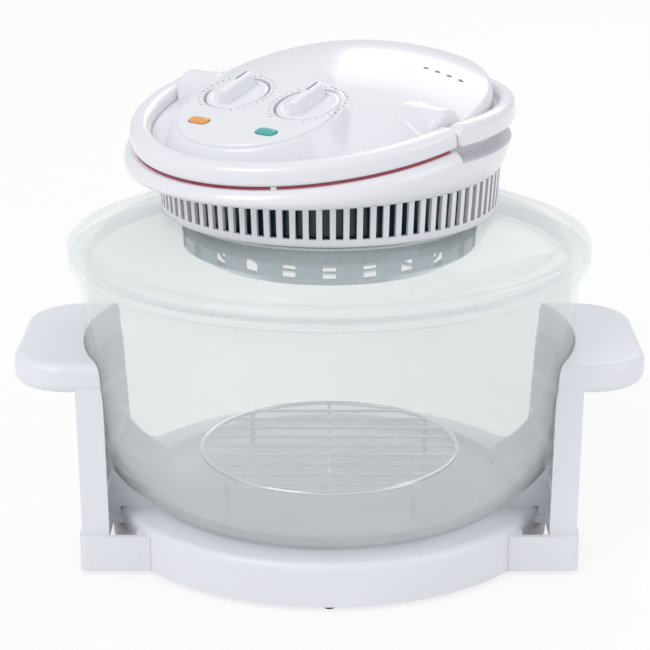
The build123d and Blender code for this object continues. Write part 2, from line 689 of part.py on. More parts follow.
def vent_housing():
    """Slotted band and flared skirt of the head, one thin moulding with a floor and a top ledge."""
    band = band_form(0.0) - band_form(HOUSING_WALL)
    mouth = cover_prism(TRIM_GAP, -COVER_DEPTH, COVER_SHELF) - below_cover()
    throat = BAND * Pos(0, 0, -2 * SKIRT_LAP) * Cylinder(BAND_TOP_R - HOUSING_WALL, 4 * HOUSING_WALL, align=LOW)
    skirt = skirt_form(0.0) - skirt_form(HOUSING_WALL) - mouth - throat
    holes = [HEAD * disc(FLOOR_HOLE_R, HOUSING_BOTTOM - 1, FLOOR_TOP + 1)]
    for place in dish_screw_places():
        holes.append(place * disc(DISH_SCREW_R + FIT_GAP, HOUSING_BOTTOM - 1, FLOOR_TOP + 1))
    for place in cover_post_places():
        holes.append(place * disc(COVER_SCREW_R + FIT_GAP, HOUSING_BOTTOM - 1, FLOOR_TOP + 1))
    seat_size = 2 * GLAND_R + 2 * FIT_GAP
    seat = gland_place() * Pos(0, 0, GLAND_SEAT_Y) * Box(seat_size, seat_size, 14)
    recess_size = 2 * GLAND_FLANGE_R + 2 * FIT_GAP
    recess = gland_place() * Pos(0, 0, GLAND_SEAT_Y - FIT_GAP) * Box(recess_size, recess_size, 14, align=LOW)
    return band + skirt - holes - [seat, recess] - vent_slots()


def rim_ring(outer, inner, low):
    """A rounded ring on the rim's plane from a low level to the rim's top, with an oval hole.

    Both ovals are given as half width, half length and the middle's Y.
    """
    height = RIM_TOP - low
    ring = Pos(0, outer[2], low) * extrude(Ellipse(outer[0], outer[1]), height)
    ring = ring - Pos(0, inner[2], low) * extrude(Ellipse(inner[0], inner[1]), height)
    ring = fillet(ring.faces().sort_by(Axis.Z)[-1].edges(), RIM_ROUND)
    under_edge = ring.faces().sort_by(Axis.Z)[0].edges().sort_by(SortBy.LENGTH)[-1]
    return fillet(under_edge, RIM_UNDER_R)


def cover_form(inset):
    """The cover's outside, or its hollow when inset is the wall: a flat shoulder and a shallow crown."""
    shoulder = cover_prism(-inset, -COVER_DEPTH, COVER_SHELF - inset)
    crown = RIM * Pos(0, DOME_Y, DOME_TOP - DOME_R) * Sphere(DOME_R - inset)
    return shoulder + (crown & cover_prism(-inset, 0.0, 2 * DOME_TOP))


def pivot_bosses():
    """Round knuckles on the cover's sides that carry the handle's pins."""
    outer_x = RIM_A - RIM_WIDTH - HANDLE_SIDE_GAP
    knuckle = Cylinder(BOSS_R, outer_x - BOSS_INNER_X, align=LOW)
    knuckle = fillet(knuckle.edges().filter_by(GeomType.CIRCLE).sort_by(Axis.Z)[-1], BOSS_EDGE_R)
    bosses = []
    for side in (90, -90):
        bosses.append(RIM * Pos(0, PIVOT_Y, PIVOT_Z) * Rot(0, side, 0) * Pos(0, 0, BOSS_INNER_X) * knuckle)
    return bosses


def switch_shelf():
    """Bracket inside the cover that carries the safety switch."""
    top = PIVOT_Z - CAM_REACH - CAM_NUB_R - PLUNGER_GAP - PLUNGER_SHOWS - SWITCH_SIZE[2]
    reach = BOSS_INNER_X + COVER_WALL + 2 - (SWITCH_X - SWITCH_SIZE[1] / 2)
    shelf = Pos(SWITCH_X - SWITCH_SIZE[1] / 2 + reach / 2, PIVOT_Y, top) * Box(
        reach, SWITCH_SIZE[0], COVER_WALL, align=HIGH)
    web = Pos(BOSS_INNER_X + COVER_WALL / 2 + 2 - 1, PIVOT_Y, top - COVER_WALL) * Box(
        COVER_WALL, SWITCH_SIZE[0] / 2, PIVOT_Z - top, align=LOW)
    return [RIM * shelf, RIM * web]


def panel_collar():
    """Raised collar and inner seat that hold the control panel."""
    deep = PANEL_THICKNESS + COVER_WALL
    outer = Ellipse(PANEL_A + COVER_WALL, PANEL_B + COVER_WALL)
    wall = Pos(0, 0, -COLLAR_DEPTH) * extrude(outer, COLLAR_DEPTH - PANEL_PROUD)
    wall = wall - Pos(0, 0, -COLLAR_DEPTH) * extrude(Ellipse(PANEL_A, PANEL_B), COLLAR_DEPTH)
    seat = Pos(0, 0, -deep) * extrude(outer, COVER_WALL)
    return [PANEL * wall - cover_form(COVER_WALL), PANEL * seat]


def dome_cover():
    """Top cover: dome, front lip, panel collar, pivot knuckles and screw posts in one shell."""
    outside = cover_form(0.0)
    shell = outside - cover_form(COVER_WALL) - below_cover()
    inner = (COVER_A - COVER_WALL / 2, COVER_B - COVER_WALL / 2, COVER_Y)
    lip = RIM * rim_ring((RIM_A, RIM_B, RIM_Y), inner, LIP_LOW) & half_space(RIM, -200, LIP_END_Y)
    added = [lip] + panel_collar() + pivot_bosses() + switch_shelf()
    for place in cover_post_places():
        added.append(place * disc(COVER_POST_R, FLOOR_TOP, RIM_Z + 60) & outside)
    for piece in added:
        shell = shell + piece
    pocket = PANEL * Pos(0, 0, -PANEL_THICKNESS) * extrude(
        Ellipse(PANEL_A + TRIM_GAP, PANEL_B + TRIM_GAP), PANEL_THICKNESS * 4)
    hole = PANEL * Pos(0, 0, -PANEL_THICKNESS * 3) * extrude(
        Ellipse(PANEL_A - PANEL_SEAT, PANEL_B - PANEL_SEAT), PANEL_THICKNESS * 4)
    pin_bore = RIM * Pos(0, PIVOT_Y, PIVOT_Z) * Rot(0, 90, 0) * Cylinder(PIVOT_PIN_R + FIT_GAP, 2 * RIM_A)
    cuts = [pocket, hole, pin_bore]
    for i in range(VENT_HOLES):
        x = VENT_ROW_START[0] + VENT_ROW_STEP[0] * i
        y = VENT_ROW_START[1] + VENT_ROW_STEP[1] * i
        cuts.append(RIM * Pos(x, y, 0) * Cylinder(VENT_HOLE_R, 4 * DOME_TOP))
    for place in cover_post_places():
        cuts.append(place * disc(COVER_SCREW_R, FLOOR_TOP - 1, FLOOR_TOP + 14))
    return shell - cuts


def seam_band():
    """Thin coloured strip under the front lip, with one short break."""
    low = LIP_LOW - SEAM_THICKNESS
    band = oval_prism(RIM, RIM_A - SEAM_INSET, RIM_B - SEAM_INSET, RIM_Y, low, LIP_LOW)
    gap = RIM * Pos(SEAM_BREAK_X, RIM_Y - RIM_B, LIP_LOW) * Box(SEAM_BREAK, RIM_B, 4 * SEAM_THICKNESS)
    knuckles = RIM * Pos(0, PIVOT_Y, PIVOT_Z) * Rot(0, 90, 0) * Cylinder(BOSS_R + TRIM_GAP, 2 * RIM_A)
    band = band - cover_prism(TRIM_GAP, -5.0, 5.0) - gap - knuckles
    return band & half_space(RIM, -200, LIP_END_Y)


# ---- head: handle ------------------------------------------------------------------------
def carry_handle():
    """Bail that folds level round the back of the head, with a blind eye at each end."""
    inner_oval = (RIM_A - RIM_WIDTH, HANDLE_B - RIM_WIDTH, RIM_Y)
    bail = HANDLE * rim_ring((RIM_A, HANDLE_B, RIM_Y), inner_oval, PIVOT_Z - EYE_R)
    bail = bail & half_space(HANDLE, PIVOT_Y, 200)
    for side in (90, -90):
        turned = RIM * Pos(0, PIVOT_Y, PIVOT_Z) * Rot(0, side, 0)
        inner = RIM_A - RIM_WIDTH
        bail = bail + turned * Pos(0, 0, inner) * Cylinder(EYE_R, RIM_WIDTH - 0.4, align=LOW)
        bail = bail - turned * Pos(0, 0, inner - 1) * Cylinder(
            PIVOT_PIN_R, RIM_WIDTH * 0.75 + 1, align=LOW)
    return bail


def handle_pivot_pins():
    """Two pins pressed into the bail's eyes; the right one ends in the switch cam."""
    outer = RIM_A - RIM_WIDTH + RIM_WIDTH * 0.75 - REST_GAP
    inner = SWITCH_X - CAM_WIDTH / 2
    pins = []
    for side in (90, -90):
        turned = RIM * Pos(0, PIVOT_Y, PIVOT_Z) * Rot(0, side, 0)
        length = outer - inner
        pin = Pos(0, 0, inner) * Cylinder(PIVOT_PIN_R - FIT_GAP / 2, length, align=LOW)
        if side == 90:
            pin = pin + Pos(0, 0, inner) * Cylinder(CAM_HUB_R, CAM_WIDTH, align=LOW)
            pin = pin + Pos(CAM_REACH / 2, 0, inner) * Box(CAM_REACH, 2 * CAM_NUB_R, CAM_WIDTH, align=LOW)
            pin = pin + Pos(CAM_REACH, 0, inner) * Cylinder(CAM_NUB_R, CAM_WIDTH, align=LOW)
        pins.append(turned * pin)
    return Compound(pins)


def switch_top():
    """Height of the safety switch's top face in the rim frame."""
    return PIVOT_Z - CAM_REACH - CAM_NUB_R - PLUNGER_GAP - PLUNGER_SHOWS


def safety_switch():
    """Small switch under the cam, with a bore for its plunger."""
    length, width, height = SWITCH_SIZE
    body = Pos(SWITCH_X, PIVOT_Y, switch_top()) * Box(width, length, height, align=HIGH)
    bore = Pos(SWITCH_X, PIVOT_Y, switch_top()) * Cylinder(PLUNGER_R + FIT_GAP, 2 * PLUNGER_LENGTH)
    return RIM * (body - bore)


def switch_plunger():
    """Plunger that the cam holds down while the handle is folded."""
    top = switch_top() + PLUNGER_SHOWS
    return RIM * Pos(SWITCH_X, PIVOT_Y, top) * Cylinder(PLUNGER_R, PLUNGER_LENGTH, align=HIGH)


# ---- head: controls ----------------------------------------------------------------------
def knob_places():
    """Left and right knob, in the panel's frame."""
    return [PANEL * Pos(side * KNOB_X, KNOB_Y, 0) for side in (-1, 1)]


def lens_places():
    """Left and right lens, in the panel's frame."""
    return [PANEL * Pos(side * LENS_X, LENS_Y, 0) for side in (-1, 1)]


def control_panel():
    """Oval platform with two knob wells and two lens openings."""
    plate = extrude(Ellipse(PANEL_A, PANEL_B), -PANEL_THICKNESS)
    plate = PANEL * fillet(plate.edges().sort_by(Axis.Z)[-1], PANEL_EDGE_R)
    cuts = []
    for place in knob_places():
        cuts.append(place * Cylinder(KNOB_WELL_R, 2 * KNOB_WELL_DEPTH))
        cuts.append(place * Cylinder(STEM_R + TRIM_GAP, 4 * PANEL_THICKNESS))
    for place in lens_places():
        opening = SlotOverall(LENS_LENGTH + 2 * TRIM_GAP, LENS_WIDTH + 2 * TRIM_GAP)
        cuts.append(place * Pos(0, 0, -2 * PANEL_THICKNESS) * extrude(opening, 4 * PANEL_THICKNESS))
    return plate - cuts


def knob(place):
    """Turning knob: a dished disc, a rounded grip bar and a stem into its unit."""
    base = -KNOB_WELL_DEPTH + REST_GAP
    disc_top = base + KNOB_DISC_HEIGHT
    plate = Pos(0, 0, base) * Cylinder(KNOB_R, KNOB_DISC_HEIGHT, align=LOW)
    plate = chamfer(plate.edges().sort_by(Axis.Z)[-1], 1.2)
    grip = Pos(0, 0, disc_top - 0.5) * extrude(SlotOverall(GRIP_LENGTH, GRIP_WIDTH, rotation=90), GRIP_HEIGHT, taper=6)
    grip = fillet(grip.faces().sort_by(Axis.Z)[-1].edges(), 1.5)
    depth = PANEL_THICKNESS - KNOB_WELL_DEPTH + REST_GAP + STEM_LENGTH
    stem = Pos(0, 0, base) * Cylinder(STEM_R, depth, align=HIGH)
    return place * (plate + grip + stem)


def unit_neck(place):
    """Threaded neck that fixes a control unit to the panel's underside."""
    neck = Pos(0, 0, -PANEL_THICKNESS) * Cylinder(UNIT_NECK_R, COVER_WALL + 3, align=HIGH)
    return place * neck


def stem_bore(place):
    """Bore for a knob's stem in its unit."""
    return place * Pos(0, 0, -PANEL_THICKNESS) * Cylinder(STEM_R + FIT_GAP, STEM_LENGTH + 2, align=HIGH)


def timer_unit():
    """Mechanical timer under the left knob."""
    place = knob_places()[0]
    top = -PANEL_THICKNESS - COVER_WALL - 2
    body = place * Pos(0, 0, top) * Box(TIMER_SIZE, TIMER_SIZE, TIMER_DEPTH, align=HIGH)
    bell = place * Pos(8, -8, top - TIMER_DEPTH + 1) * Cylinder(7, 5, align=HIGH)
    return body + unit_neck(place) + bell - stem_bore(place)


def thermostat_unit():
    """Capillary thermostat under the right knob."""
    place = knob_places()[1]
    top = -PANEL_THICKNESS - COVER_WALL - 2
    body = place * Pos(0, 0, top) * Cylinder(THERMOSTAT_R, THERMOSTAT_DEPTH, align=HIGH)
    base = place * Pos(0, 0, top - THERMOSTAT_DEPTH + 1) * Box(24, 18, 10, align=HIGH)
    return body + base + unit_neck(place) - stem_bore(place)


def lens(place):
    """Oval lens let into the panel, standing a little proud, with a flange behind."""
    body = Pos(0, 0, -PANEL_THICKNESS) * extrude(
        SlotOverall(LENS_LENGTH, LENS_WIDTH), PANEL_THICKNESS + LENS_PROUD)
    body = fillet(body.faces().sort_by(Axis.Z)[-1].edges(), 0.8)
    flange = Pos(0, 0, -PANEL_THICKNESS - LENS_FLANGE) * extrude(
        SlotOverall(LENS_LENGTH + 3, LENS_WIDTH + 3), LENS_FLANGE)
    return place * (body + flange)


def indicator_lamps():
    """Two small lamps behind the lenses."""
    low = -PANEL_THICKNESS - LENS_FLANGE
    lamp = Pos(0, 0, low) * Cylinder(LAMP_R, LAMP_LENGTH, align=HIGH)
    return Compound([place * lamp for place in lens_places()])


# ---- head: motor and fans ----------------------------------------------------------------
def motor_stator():
    """Shaded-pole motor's fixed part: a stack between two bells."""
    stack_low = MOTOR_BOTTOM + MOTOR_BELL
    stack_high = stack_low + MOTOR_STACK
    top = stack_high + MOTOR_BELL
    outline = [(BEARING_R, MOTOR_BOTTOM), (MOTOR_R * 0.7, MOTOR_BOTTOM), (MOTOR_R * 0.8, stack_low),
               (MOTOR_R, stack_low), (MOTOR_R, stack_high), (MOTOR_R * 0.8, stack_high),
               (MOTOR_R * 0.7, top), (BEARING_R, top), (BEARING_R, stack_high),
               (BEARING_R + 6, stack_high), (BEARING_R + 6, stack_low), (BEARING_R, stack_low)]
    return HEAD * spun_outline(*outline)


def shaft_bearings():
    """Plain bearings in both bells."""
    stack_high = MOTOR_BOTTOM + MOTOR_BELL + MOTOR_STACK
    lower = tube(BEARING_R, SHAFT_R + FIT_GAP, MOTOR_BOTTOM, MOTOR_BOTTOM + MOTOR_BELL)
    upper = tube(BEARING_R, SHAFT_R + FIT_GAP, stack_high, stack_high + MOTOR_BELL)
    return Compound([HEAD * lower, HEAD * upper])


def motor_shaft():
    """Shaft with the rotor core, from the motor's top to the convection fan."""
    core_low = MOTOR_BOTTOM + MOTOR_BELL + 1
    core = disc(BEARING_R + 5.5, core_low, core_low + MOTOR_STACK - 2)
    return HEAD * (disc(SHAFT_R, SHAFT_BOTTOM, SHAFT_TOP) + core)


def motor_bracket():
    """Three-legged steel bracket from the housing floor to the motor."""
    low = MOTOR_BOTTOM - BRACKET_THICKNESS
    bracket = tube(MOTOR_R * 0.7, BRACKET_HUB_R, low, MOTOR_BOTTOM)
    start = BRACKET_HUB_R + 1
    reach = BRACKET_LEG_R - start
    for place in polar(3, 0, start=30.0):
        arm = Pos(start + reach / 2, 0, low) * Box(reach, BRACKET_LEG_WIDTH, BRACKET_THICKNESS, align=LOW)
        leg = Pos(BRACKET_LEG_R - BRACKET_THICKNESS / 2, 0, FLOOR_TOP) * Box(
            BRACKET_THICKNESS, BRACKET_LEG_WIDTH, MOTOR_BOTTOM - FLOOR_TOP, align=LOW)
        toe = Pos(BRACKET_LEG_R + 4, 0, FLOOR_TOP) * Box(
            12, BRACKET_LEG_WIDTH, BRACKET_THICKNESS, align=LOW)
        bracket = bracket + place * arm + place * leg + place * toe
    return HEAD * bracket


def fan(radius, z, blades, pitch):
    """Axial fan: a hub on the shaft and flat blades set at a pitch."""
    wheel = disc(HUB_R, z, z + BLADE_HEIGHT)
    length = radius - HUB_R + 1.5
    for place in polar(blades, 0):
        blade = Pos(HUB_R - 1.5 + length / 2, 0, z + BLADE_HEIGHT / 2) * Rot(pitch, 0, 0) * Box(
            length, BLADE_HEIGHT * 1.6, BLADE_THICKNESS)
        wheel = wheel + place * blade
    wheel = wheel & disc(radius, z, z + BLADE_HEIGHT)
    return HEAD * (wheel - disc(SHAFT_R + FIT_GAP / 2, z - 1, z + BLADE_HEIGHT + 1))


def fan_nut():
    """Nut under the convection fan."""
    nut = Pos(0, 0, CONVECTION_FAN_Z - 4) * extrude(RegularPolygon(6.0, 6), 4)
    return HEAD * (nut - disc(SHAFT_R + FIT_GAP / 2, CONVECTION_FAN_Z - 5, CONVECTION_FAN_Z + 1))


# ---- head: lamp side ---------------------------------------------------------------------
def lamp_dish():
    """Polished dish under the glass: a neck through the lid, a wide body and a narrower mouth."""
    shield_top = HOUSING_BOTTOM - 1.0
    flange_in = BRACKET_LEG_R - 5
    wall = DISH_WALL
    dish = spun_outline(
        (flange_in, HOUSING_BOTTOM), (NECK_R, HOUSING_BOTTOM), (NECK_R, DISH_TOP), (DISH_R, DISH_TOP),
        (DISH_R, DISH_WAIST), (DISH_MOUTH_R, DISH_BOTTOM), (DISH_MOUTH_R - wall, DISH_BOTTOM),
        (DISH_R - wall, DISH_WAIST + 0.5), (DISH_R - wall, DISH_TOP - wall), (NECK_R - wall, DISH_TOP - wall),
        (NECK_R - wall, shield_top), (flange_in, shield_top))
    middle = (DISH_TOP + DISH_WAIST) / 2
    cuts = []
    for place in polar(DISH_SLOTS, DISH_R, start=180.0 / DISH_SLOTS):
        slot = SlotOverall(DISH_SLOT_LENGTH, DISH_SLOT_HEIGHT)
        cuts.append(place * Pos(0, 0, middle) * Rot(90, 0, 90) * extrude(slot, 4, both=True))
    dish = HEAD * (dish - cuts)
    holes = [place * disc(DISH_SCREW_R + FIT_GAP, shield_top - 1, HOUSING_BOTTOM + 1)
             for place in dish_screw_places()]
    return dish - holes


def heat_shield():
    """Plate that closes the dish's neck, with a hole for the shaft."""
    top = HOUSING_BOTTOM - 1.0
    plate = HEAD * tube(NECK_R - DISH_WALL - TRIM_GAP, SHAFT_R + 2, top - SHIELD_THICKNESS, top)
    holes = [place * disc(DISH_SCREW_R + FIT_GAP, top - 3, top + 1) for place in dish_screw_places()]
    return plate - holes


def dish_screws():
    """Screws through shield and dish into the housing floor."""
    low = HOUSING_BOTTOM - 1.0 - SHIELD_THICKNESS
    screw = cross_screw(DISH_SCREW_R, FLOOR_TOP - low + 2, SCREW_HEAD_R, SCREW_HEAD_HEIGHT)
    return Compound([place * Pos(0, 0, low) * screw for place in dish_screw_places()])


def cover_screws():
    """Screws from under the housing floor into the cover's posts."""
    shank = disc(COVER_SCREW_R - FIT_GAP, HOUSING_BOTTOM + 0.2, FLOOR_TOP + 12)
    return Compound([place * shank for place in cover_post_places()])


def halogen_lamp():
    """Ring-shaped tube lamp, open where its two ends meet the holders."""
    turn = 360.0 - LAMP_GAP_ANGLE
    section = Plane.XZ * Pos(LAMP_RING_R, LAMP_Z) * Circle(LAMP_TUBE_R)
    ring = revolve(section, Axis.Z, revolution_arc=turn)
    return HEAD * Rot(0, 0, 90 + LAMP_GAP_ANGLE / 2) * ring


def lamp_holders():
    """Two ceramic blocks that hang from the shield and take the lamp's ends."""
    top = HOUSING_BOTTOM - 1.0 - SHIELD_THICKNESS
    low = LAMP_Z - HOLDER_SIZE / 2
    tube_space = Pos(0, 0, LAMP_Z) * Torus(LAMP_RING_R, LAMP_TUBE_R + FIT_GAP)
    blocks = []
    for side in (-1, 1):
        angle = 90 + side * (LAMP_GAP_ANGLE / 2 + 4)
        block = Rot(0, 0, angle) * Pos(LAMP_RING_R, 0, low) * Box(
            HOLDER_SIZE, HOLDER_SIZE * 0.8, top - low, align=LOW)
        blocks.append(HEAD * (block - tube_space))
    return Compound(blocks)


def lamp_guard():
    """Wire guard across the dish's mouth, in a flat steel band."""
    outer = DISH_MOUTH_R - DISH_WALL - 0.1
    guard = tube(outer, outer - GUARD_BAND, DISH_BOTTOM, DISH_BOTTOM + 1.2)
    z = DISH_BOTTOM - GUARD_WIRE_R + 0.4
    for radius in GUARD_RINGS:
        guard = guard + Pos(0, 0, z) * Torus(radius, GUARD_WIRE_R)
    spoke = Rot(0, 90, 0) * Cylinder(GUARD_WIRE_R, outer - 3 - GUARD_RINGS[0], align=LOW)
    for place in polar(GUARD_SPOKES, GUARD_RINGS[0]):
        guard = guard + place * Pos(0, 0, z + GUARD_WIRE_R * 0.8) * spoke
    return HEAD * guard


# ---- head: wiring pieces -----------------------------------------------------------------
def thermal_cutout():
    """Round safety cutout on the heat shield."""
    top = HOUSING_BOTTOM - 1.0
    body = disc(CUTOUT_R, top, top + CUTOUT_HEIGHT)
    tabs = Pos(0, 0, top + CUTOUT_HEIGHT - 1) * Box(CUTOUT_R * 3, 4, 1, align=LOW)
    return HEAD * Pos(42, 18, 0) * (body + tabs)


def terminal_block():
    """Mains terminal block on the housing floor, near the gland."""
    length, width, height = TERMINAL_SIZE
    block = Box(length, width, height, align=LOW)
    for x in (-11, 0, 11):
        block = block - Pos(x, 0, height) * Cylinder(2.5, 8)
    return HEAD * Pos(0, 84, FLOOR_TOP) * block


def cord_gland():
    """Bush for the cord: square in its seat, with a flange and a round nozzle outside."""
    size = 2 * GLAND_R
    seat_low = GLAND_SEAT_Y - 6
    body = Pos(0, 0, seat_low) * Box(size, size, 6, align=LOW)
    flange = Pos(0, 0, GLAND_SEAT_Y) * Box(2 * GLAND_FLANGE_R, 2 * GLAND_FLANGE_R, GLAND_FLANGE, align=LOW)
    nozzle = Pos(0, 0, GLAND_SEAT_Y) * Cylinder(GLAND_R, GLAND_LENGTH - 6, align=LOW)
    bore = Pos(0, 0, seat_low - 1) * Cylinder(GLAND_BORE_R, GLAND_LENGTH + 2, align=LOW)
    return gland_place() * (body + flange + nozzle - bore)


# ---- build -------------------------------------------------------------------------------
def build():
    """Make every sub-part and write it."""
    os.makedirs("parts", exist_ok=True)
    post = side_post()
    knobs = knob_places()
    lenses = lens_places()
    pieces = {
        "stand_base": stand_base(),
        "bowl_shelf": bowl_shelf(),
        "stand_feet": stand_feet(),
        "right_post": post,
        "left_post": Rot(0, 0, 180) * post,
        "stand_screws": stand_screws(),
        "glass_bowl": glass_bowl(),
        "low_rack": low_rack(),
        "glass_lid": glass_lid(),
        "glass_seal": glass_seal(),
        "clamp_ring": clamp_ring(),
        "vent_housing": vent_housing(),
        "seam_band": seam_band(),
        "dome_cover": dome_cover(),
        "control_panel": control_panel(),
        "timer_knob": knob(knobs[0]),
        "temperature_knob": knob(knobs[1]),
        "timer_unit": timer_unit(),
        "thermostat_unit": thermostat_unit(),
        "orange_lens": lens(lenses[0]),
        "green_lens": lens(lenses[1]),
        "indicator_lamps": indicator_lamps(),
        "carry_handle": carry_handle(),
        "handle_pivot_pins": handle_pivot_pins(),
        "safety_switch": safety_switch(),
        "switch_plunger": switch_plunger(),
        "motor_stator": motor_stator(),
        "shaft_bearings": shaft_bearings(),
        "motor_shaft": motor_shaft(),
        "motor_bracket": motor_bracket(),
        "cooling_fan": fan(COOLING_FAN_R, COOLING_FAN_Z, COOLING_BLADES, 35),
        "convection_fan": fan(CONVECTION_FAN_R, CONVECTION_FAN_Z, CONVECTION_BLADES, 35),
        "fan_nut": fan_nut(),
        "lamp_dish": lamp_dish(),
        "heat_shield": heat_shield(),
        "dish_screws": dish_screws(),
        "cover_screws": cover_screws(),
        "halogen_lamp": halogen_lamp(),
        "lamp_holders": lamp_holders(),
        "lamp_guard": lamp_guard(),
        "thermal_cutout": thermal_cutout(),
        "terminal_block": terminal_block(),
        "cord_gland": cord_gland(),
    }
    for name, shape in pieces.items():
        save(name, shape)


build()
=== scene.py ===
"""Looks of a countertop halogen oven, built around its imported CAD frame.

Sizes are millimetres in the object's frame (+Z up, -Y the stand's front) until a mesh is
written, which turns them into metres. New pieces are surfaces worked out on numpy grids.
"""

import logging
import math
from dataclasses import dataclass
from enum import Enum

import bmesh
import bpy
import numpy as np
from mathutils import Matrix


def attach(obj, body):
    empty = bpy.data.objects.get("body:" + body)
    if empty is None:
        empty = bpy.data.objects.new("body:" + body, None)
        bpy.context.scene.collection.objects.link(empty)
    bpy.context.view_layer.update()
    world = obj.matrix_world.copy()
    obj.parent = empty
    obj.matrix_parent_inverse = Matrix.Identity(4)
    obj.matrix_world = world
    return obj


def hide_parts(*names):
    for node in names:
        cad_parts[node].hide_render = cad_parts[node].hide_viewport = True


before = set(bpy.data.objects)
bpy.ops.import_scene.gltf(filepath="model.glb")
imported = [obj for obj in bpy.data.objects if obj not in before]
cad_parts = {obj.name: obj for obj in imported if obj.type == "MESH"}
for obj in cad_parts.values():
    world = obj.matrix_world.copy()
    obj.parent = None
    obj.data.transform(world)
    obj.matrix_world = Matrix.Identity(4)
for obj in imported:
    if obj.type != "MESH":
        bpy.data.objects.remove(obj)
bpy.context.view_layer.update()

LOG = logging.getLogger("halogen_oven")
METRE = 0.001
TAU = 2.0 * math.pi


# ---- places ------------------------------------------------------------------------------
def moved(x: float, y: float, z: float) -> np.ndarray:
    """A shift, as a 4 x 4 matrix.

    Args:
        x, y, z: the shift in millimetres.

    Returns:
        The matrix.
    """
    place = np.eye(4)
    place[:3, 3] = (x, y, z)
    return place


def turned(axis: int, degrees: float) -> np.ndarray:
    """A turn about one main axis, as a 4 x 4 matrix.

    Args:
        axis: 0, 1 or 2 for X, Y or Z.
        degrees: the angle, right-handed.

    Returns:
        The matrix.
    """
    c, s = math.cos(math.radians(degrees)), math.sin(math.radians(degrees))
    a, b = (axis + 1) % 3, (axis + 2) % 3
    place = np.eye(4)
    place[a, a], place[a, b], place[b, a], place[b, b] = c, -s, s, c
    return place


def carried(points: np.ndarray, place: np.ndarray) -> np.ndarray:
    """Points of a local frame in the object's frame.

    Args:
        points: array whose last axis is x, y, z.
        place: the local frame's matrix.

    Returns:
        The moved points, in the same layout.
    """
    return points @ place[:3, :3].T + place[:3, 3]


HEAD_TURN = -37.5
RIM_Z = 275.5
RIM_TILT = 8.8
PANEL_SPOT = (0.0, -68.0, 26.5)
PANEL_TILT = 7.0
PANEL_HALF = (52.0, 47.0)
PIVOT = (0.0, -16.0, 7.7)

UPRIGHT = np.eye(4)
HEAD = turned(2, HEAD_TURN)
RIM = HEAD @ moved(0, 0, RIM_Z) @ turned(0, RIM_TILT)
PANEL = RIM @ moved(*PANEL_SPOT) @ turned(0, PANEL_TILT)
HANDLE = RIM @ moved(*PIVOT) @ turned(0, -RIM_TILT) @ moved(0, -PIVOT[1], -PIVOT[2])


# ---- surfaces ----------------------------------------------------------------------------
class Shade(Enum):
    """How a surface's faces meet in the render."""

    SMOOTH = 180.0
    CREASED = 38.0


def ramp(low: float, high: float, x: np.ndarray) -> np.ndarray:
    """Smooth step of x: 0 up to low, 1 from high on, and 3t^2 - 2t^3 between."""
    t = np.clip((x - low) / (high - low), 0.0, 1.0)
    return t * t * (3.0 - 2.0 * t)


def softly_higher(a: np.ndarray, b: np.ndarray, blend: float) -> np.ndarray:
    """Smooth maximum: the higher surface, with a fillet about blend wide where the two meet."""
    h = np.clip(0.5 + 0.5 * (a - b) / blend, 0.0, 1.0)
    return b * (1 - h) + a * h + blend * h * (1 - h)


def rounded_outline(corners: list[tuple[float, float, float]], steps: int = 6) -> np.ndarray:
    """Closed outline with each corner turned on its own radius.

    Each corner is replaced by the arc that touches both of its sides: the tangent length is
    r * tan(turn / 2), and the arc is swept evenly in angle.

    Args:
        corners: x, y and radius of each corner, in order.
        steps: points of each arc.

    Returns:
        Array of points, one row each.
    """
    table = np.array(corners, float)
    spots, radii = table[:, :2], table[:, 2]
    to_last = np.roll(spots, 1, axis=0) - spots
    to_next = np.roll(spots, -1, axis=0) - spots
    to_last /= np.linalg.norm(to_last, axis=1, keepdims=True)
    to_next /= np.linalg.norm(to_next, axis=1, keepdims=True)
    half = np.arccos(np.clip((to_last * to_next).sum(1), -1, 1)) / 2
    reach = (radii / np.tan(half))[:, None]
    middle = (to_last + to_next) / np.linalg.norm(to_last + to_next, axis=1, keepdims=True)
    centre = spots + middle * (radii / np.sin(half))[:, None]
    start, end = spots + to_last * reach - centre, spots + to_next * reach - centre
    first = np.arctan2(start[:, 1], start[:, 0])
    sweep = (np.arctan2(end[:, 1], end[:, 0]) - first + math.pi) % TAU - math.pi
    angle = first[:, None] + sweep[:, None] * np.linspace(0, 1, steps)[None, :]
    arc = np.stack([np.cos(angle), np.sin(angle)], -1) * radii[:, None, None] + centre[:, None, :]
    return arc.reshape(-1, 2)


def arc_points(centre: tuple[float, float], radius: float, low: float, high: float,
               steps: int) -> np.ndarray:
    """Points on a circle's arc, evenly spaced in angle.

    Args:
        centre: the circle's centre.
        radius: its radius.
        low, high: first and last angle in degrees.
        steps: number of points.

    Returns:
        Array of points, one row each.
    """
    angle = np.radians(np.linspace(low, high, steps))
    return np.stack([centre[0] + radius * np.cos(angle), centre[1] + radius * np.sin(angle)], -1)


def spun(outline: np.ndarray, around: int) -> np.ndarray:
    """Grid of an outline (radius, height) turned about Z: x = r cos t, y = r sin t, z = h.

    Args:
        outline: points of the outline, radius and height.
        around: number of steps round the axis.

    Returns:
        Grid of points, around by outline.
    """
    t = np.linspace(0, TAU, around, endpoint=False)[:, None]
    r, h = outline[None, :, 0], outline[None, :, 1]
    return np.stack([r * np.cos(t), r * np.sin(t), h + 0 * t], -1)


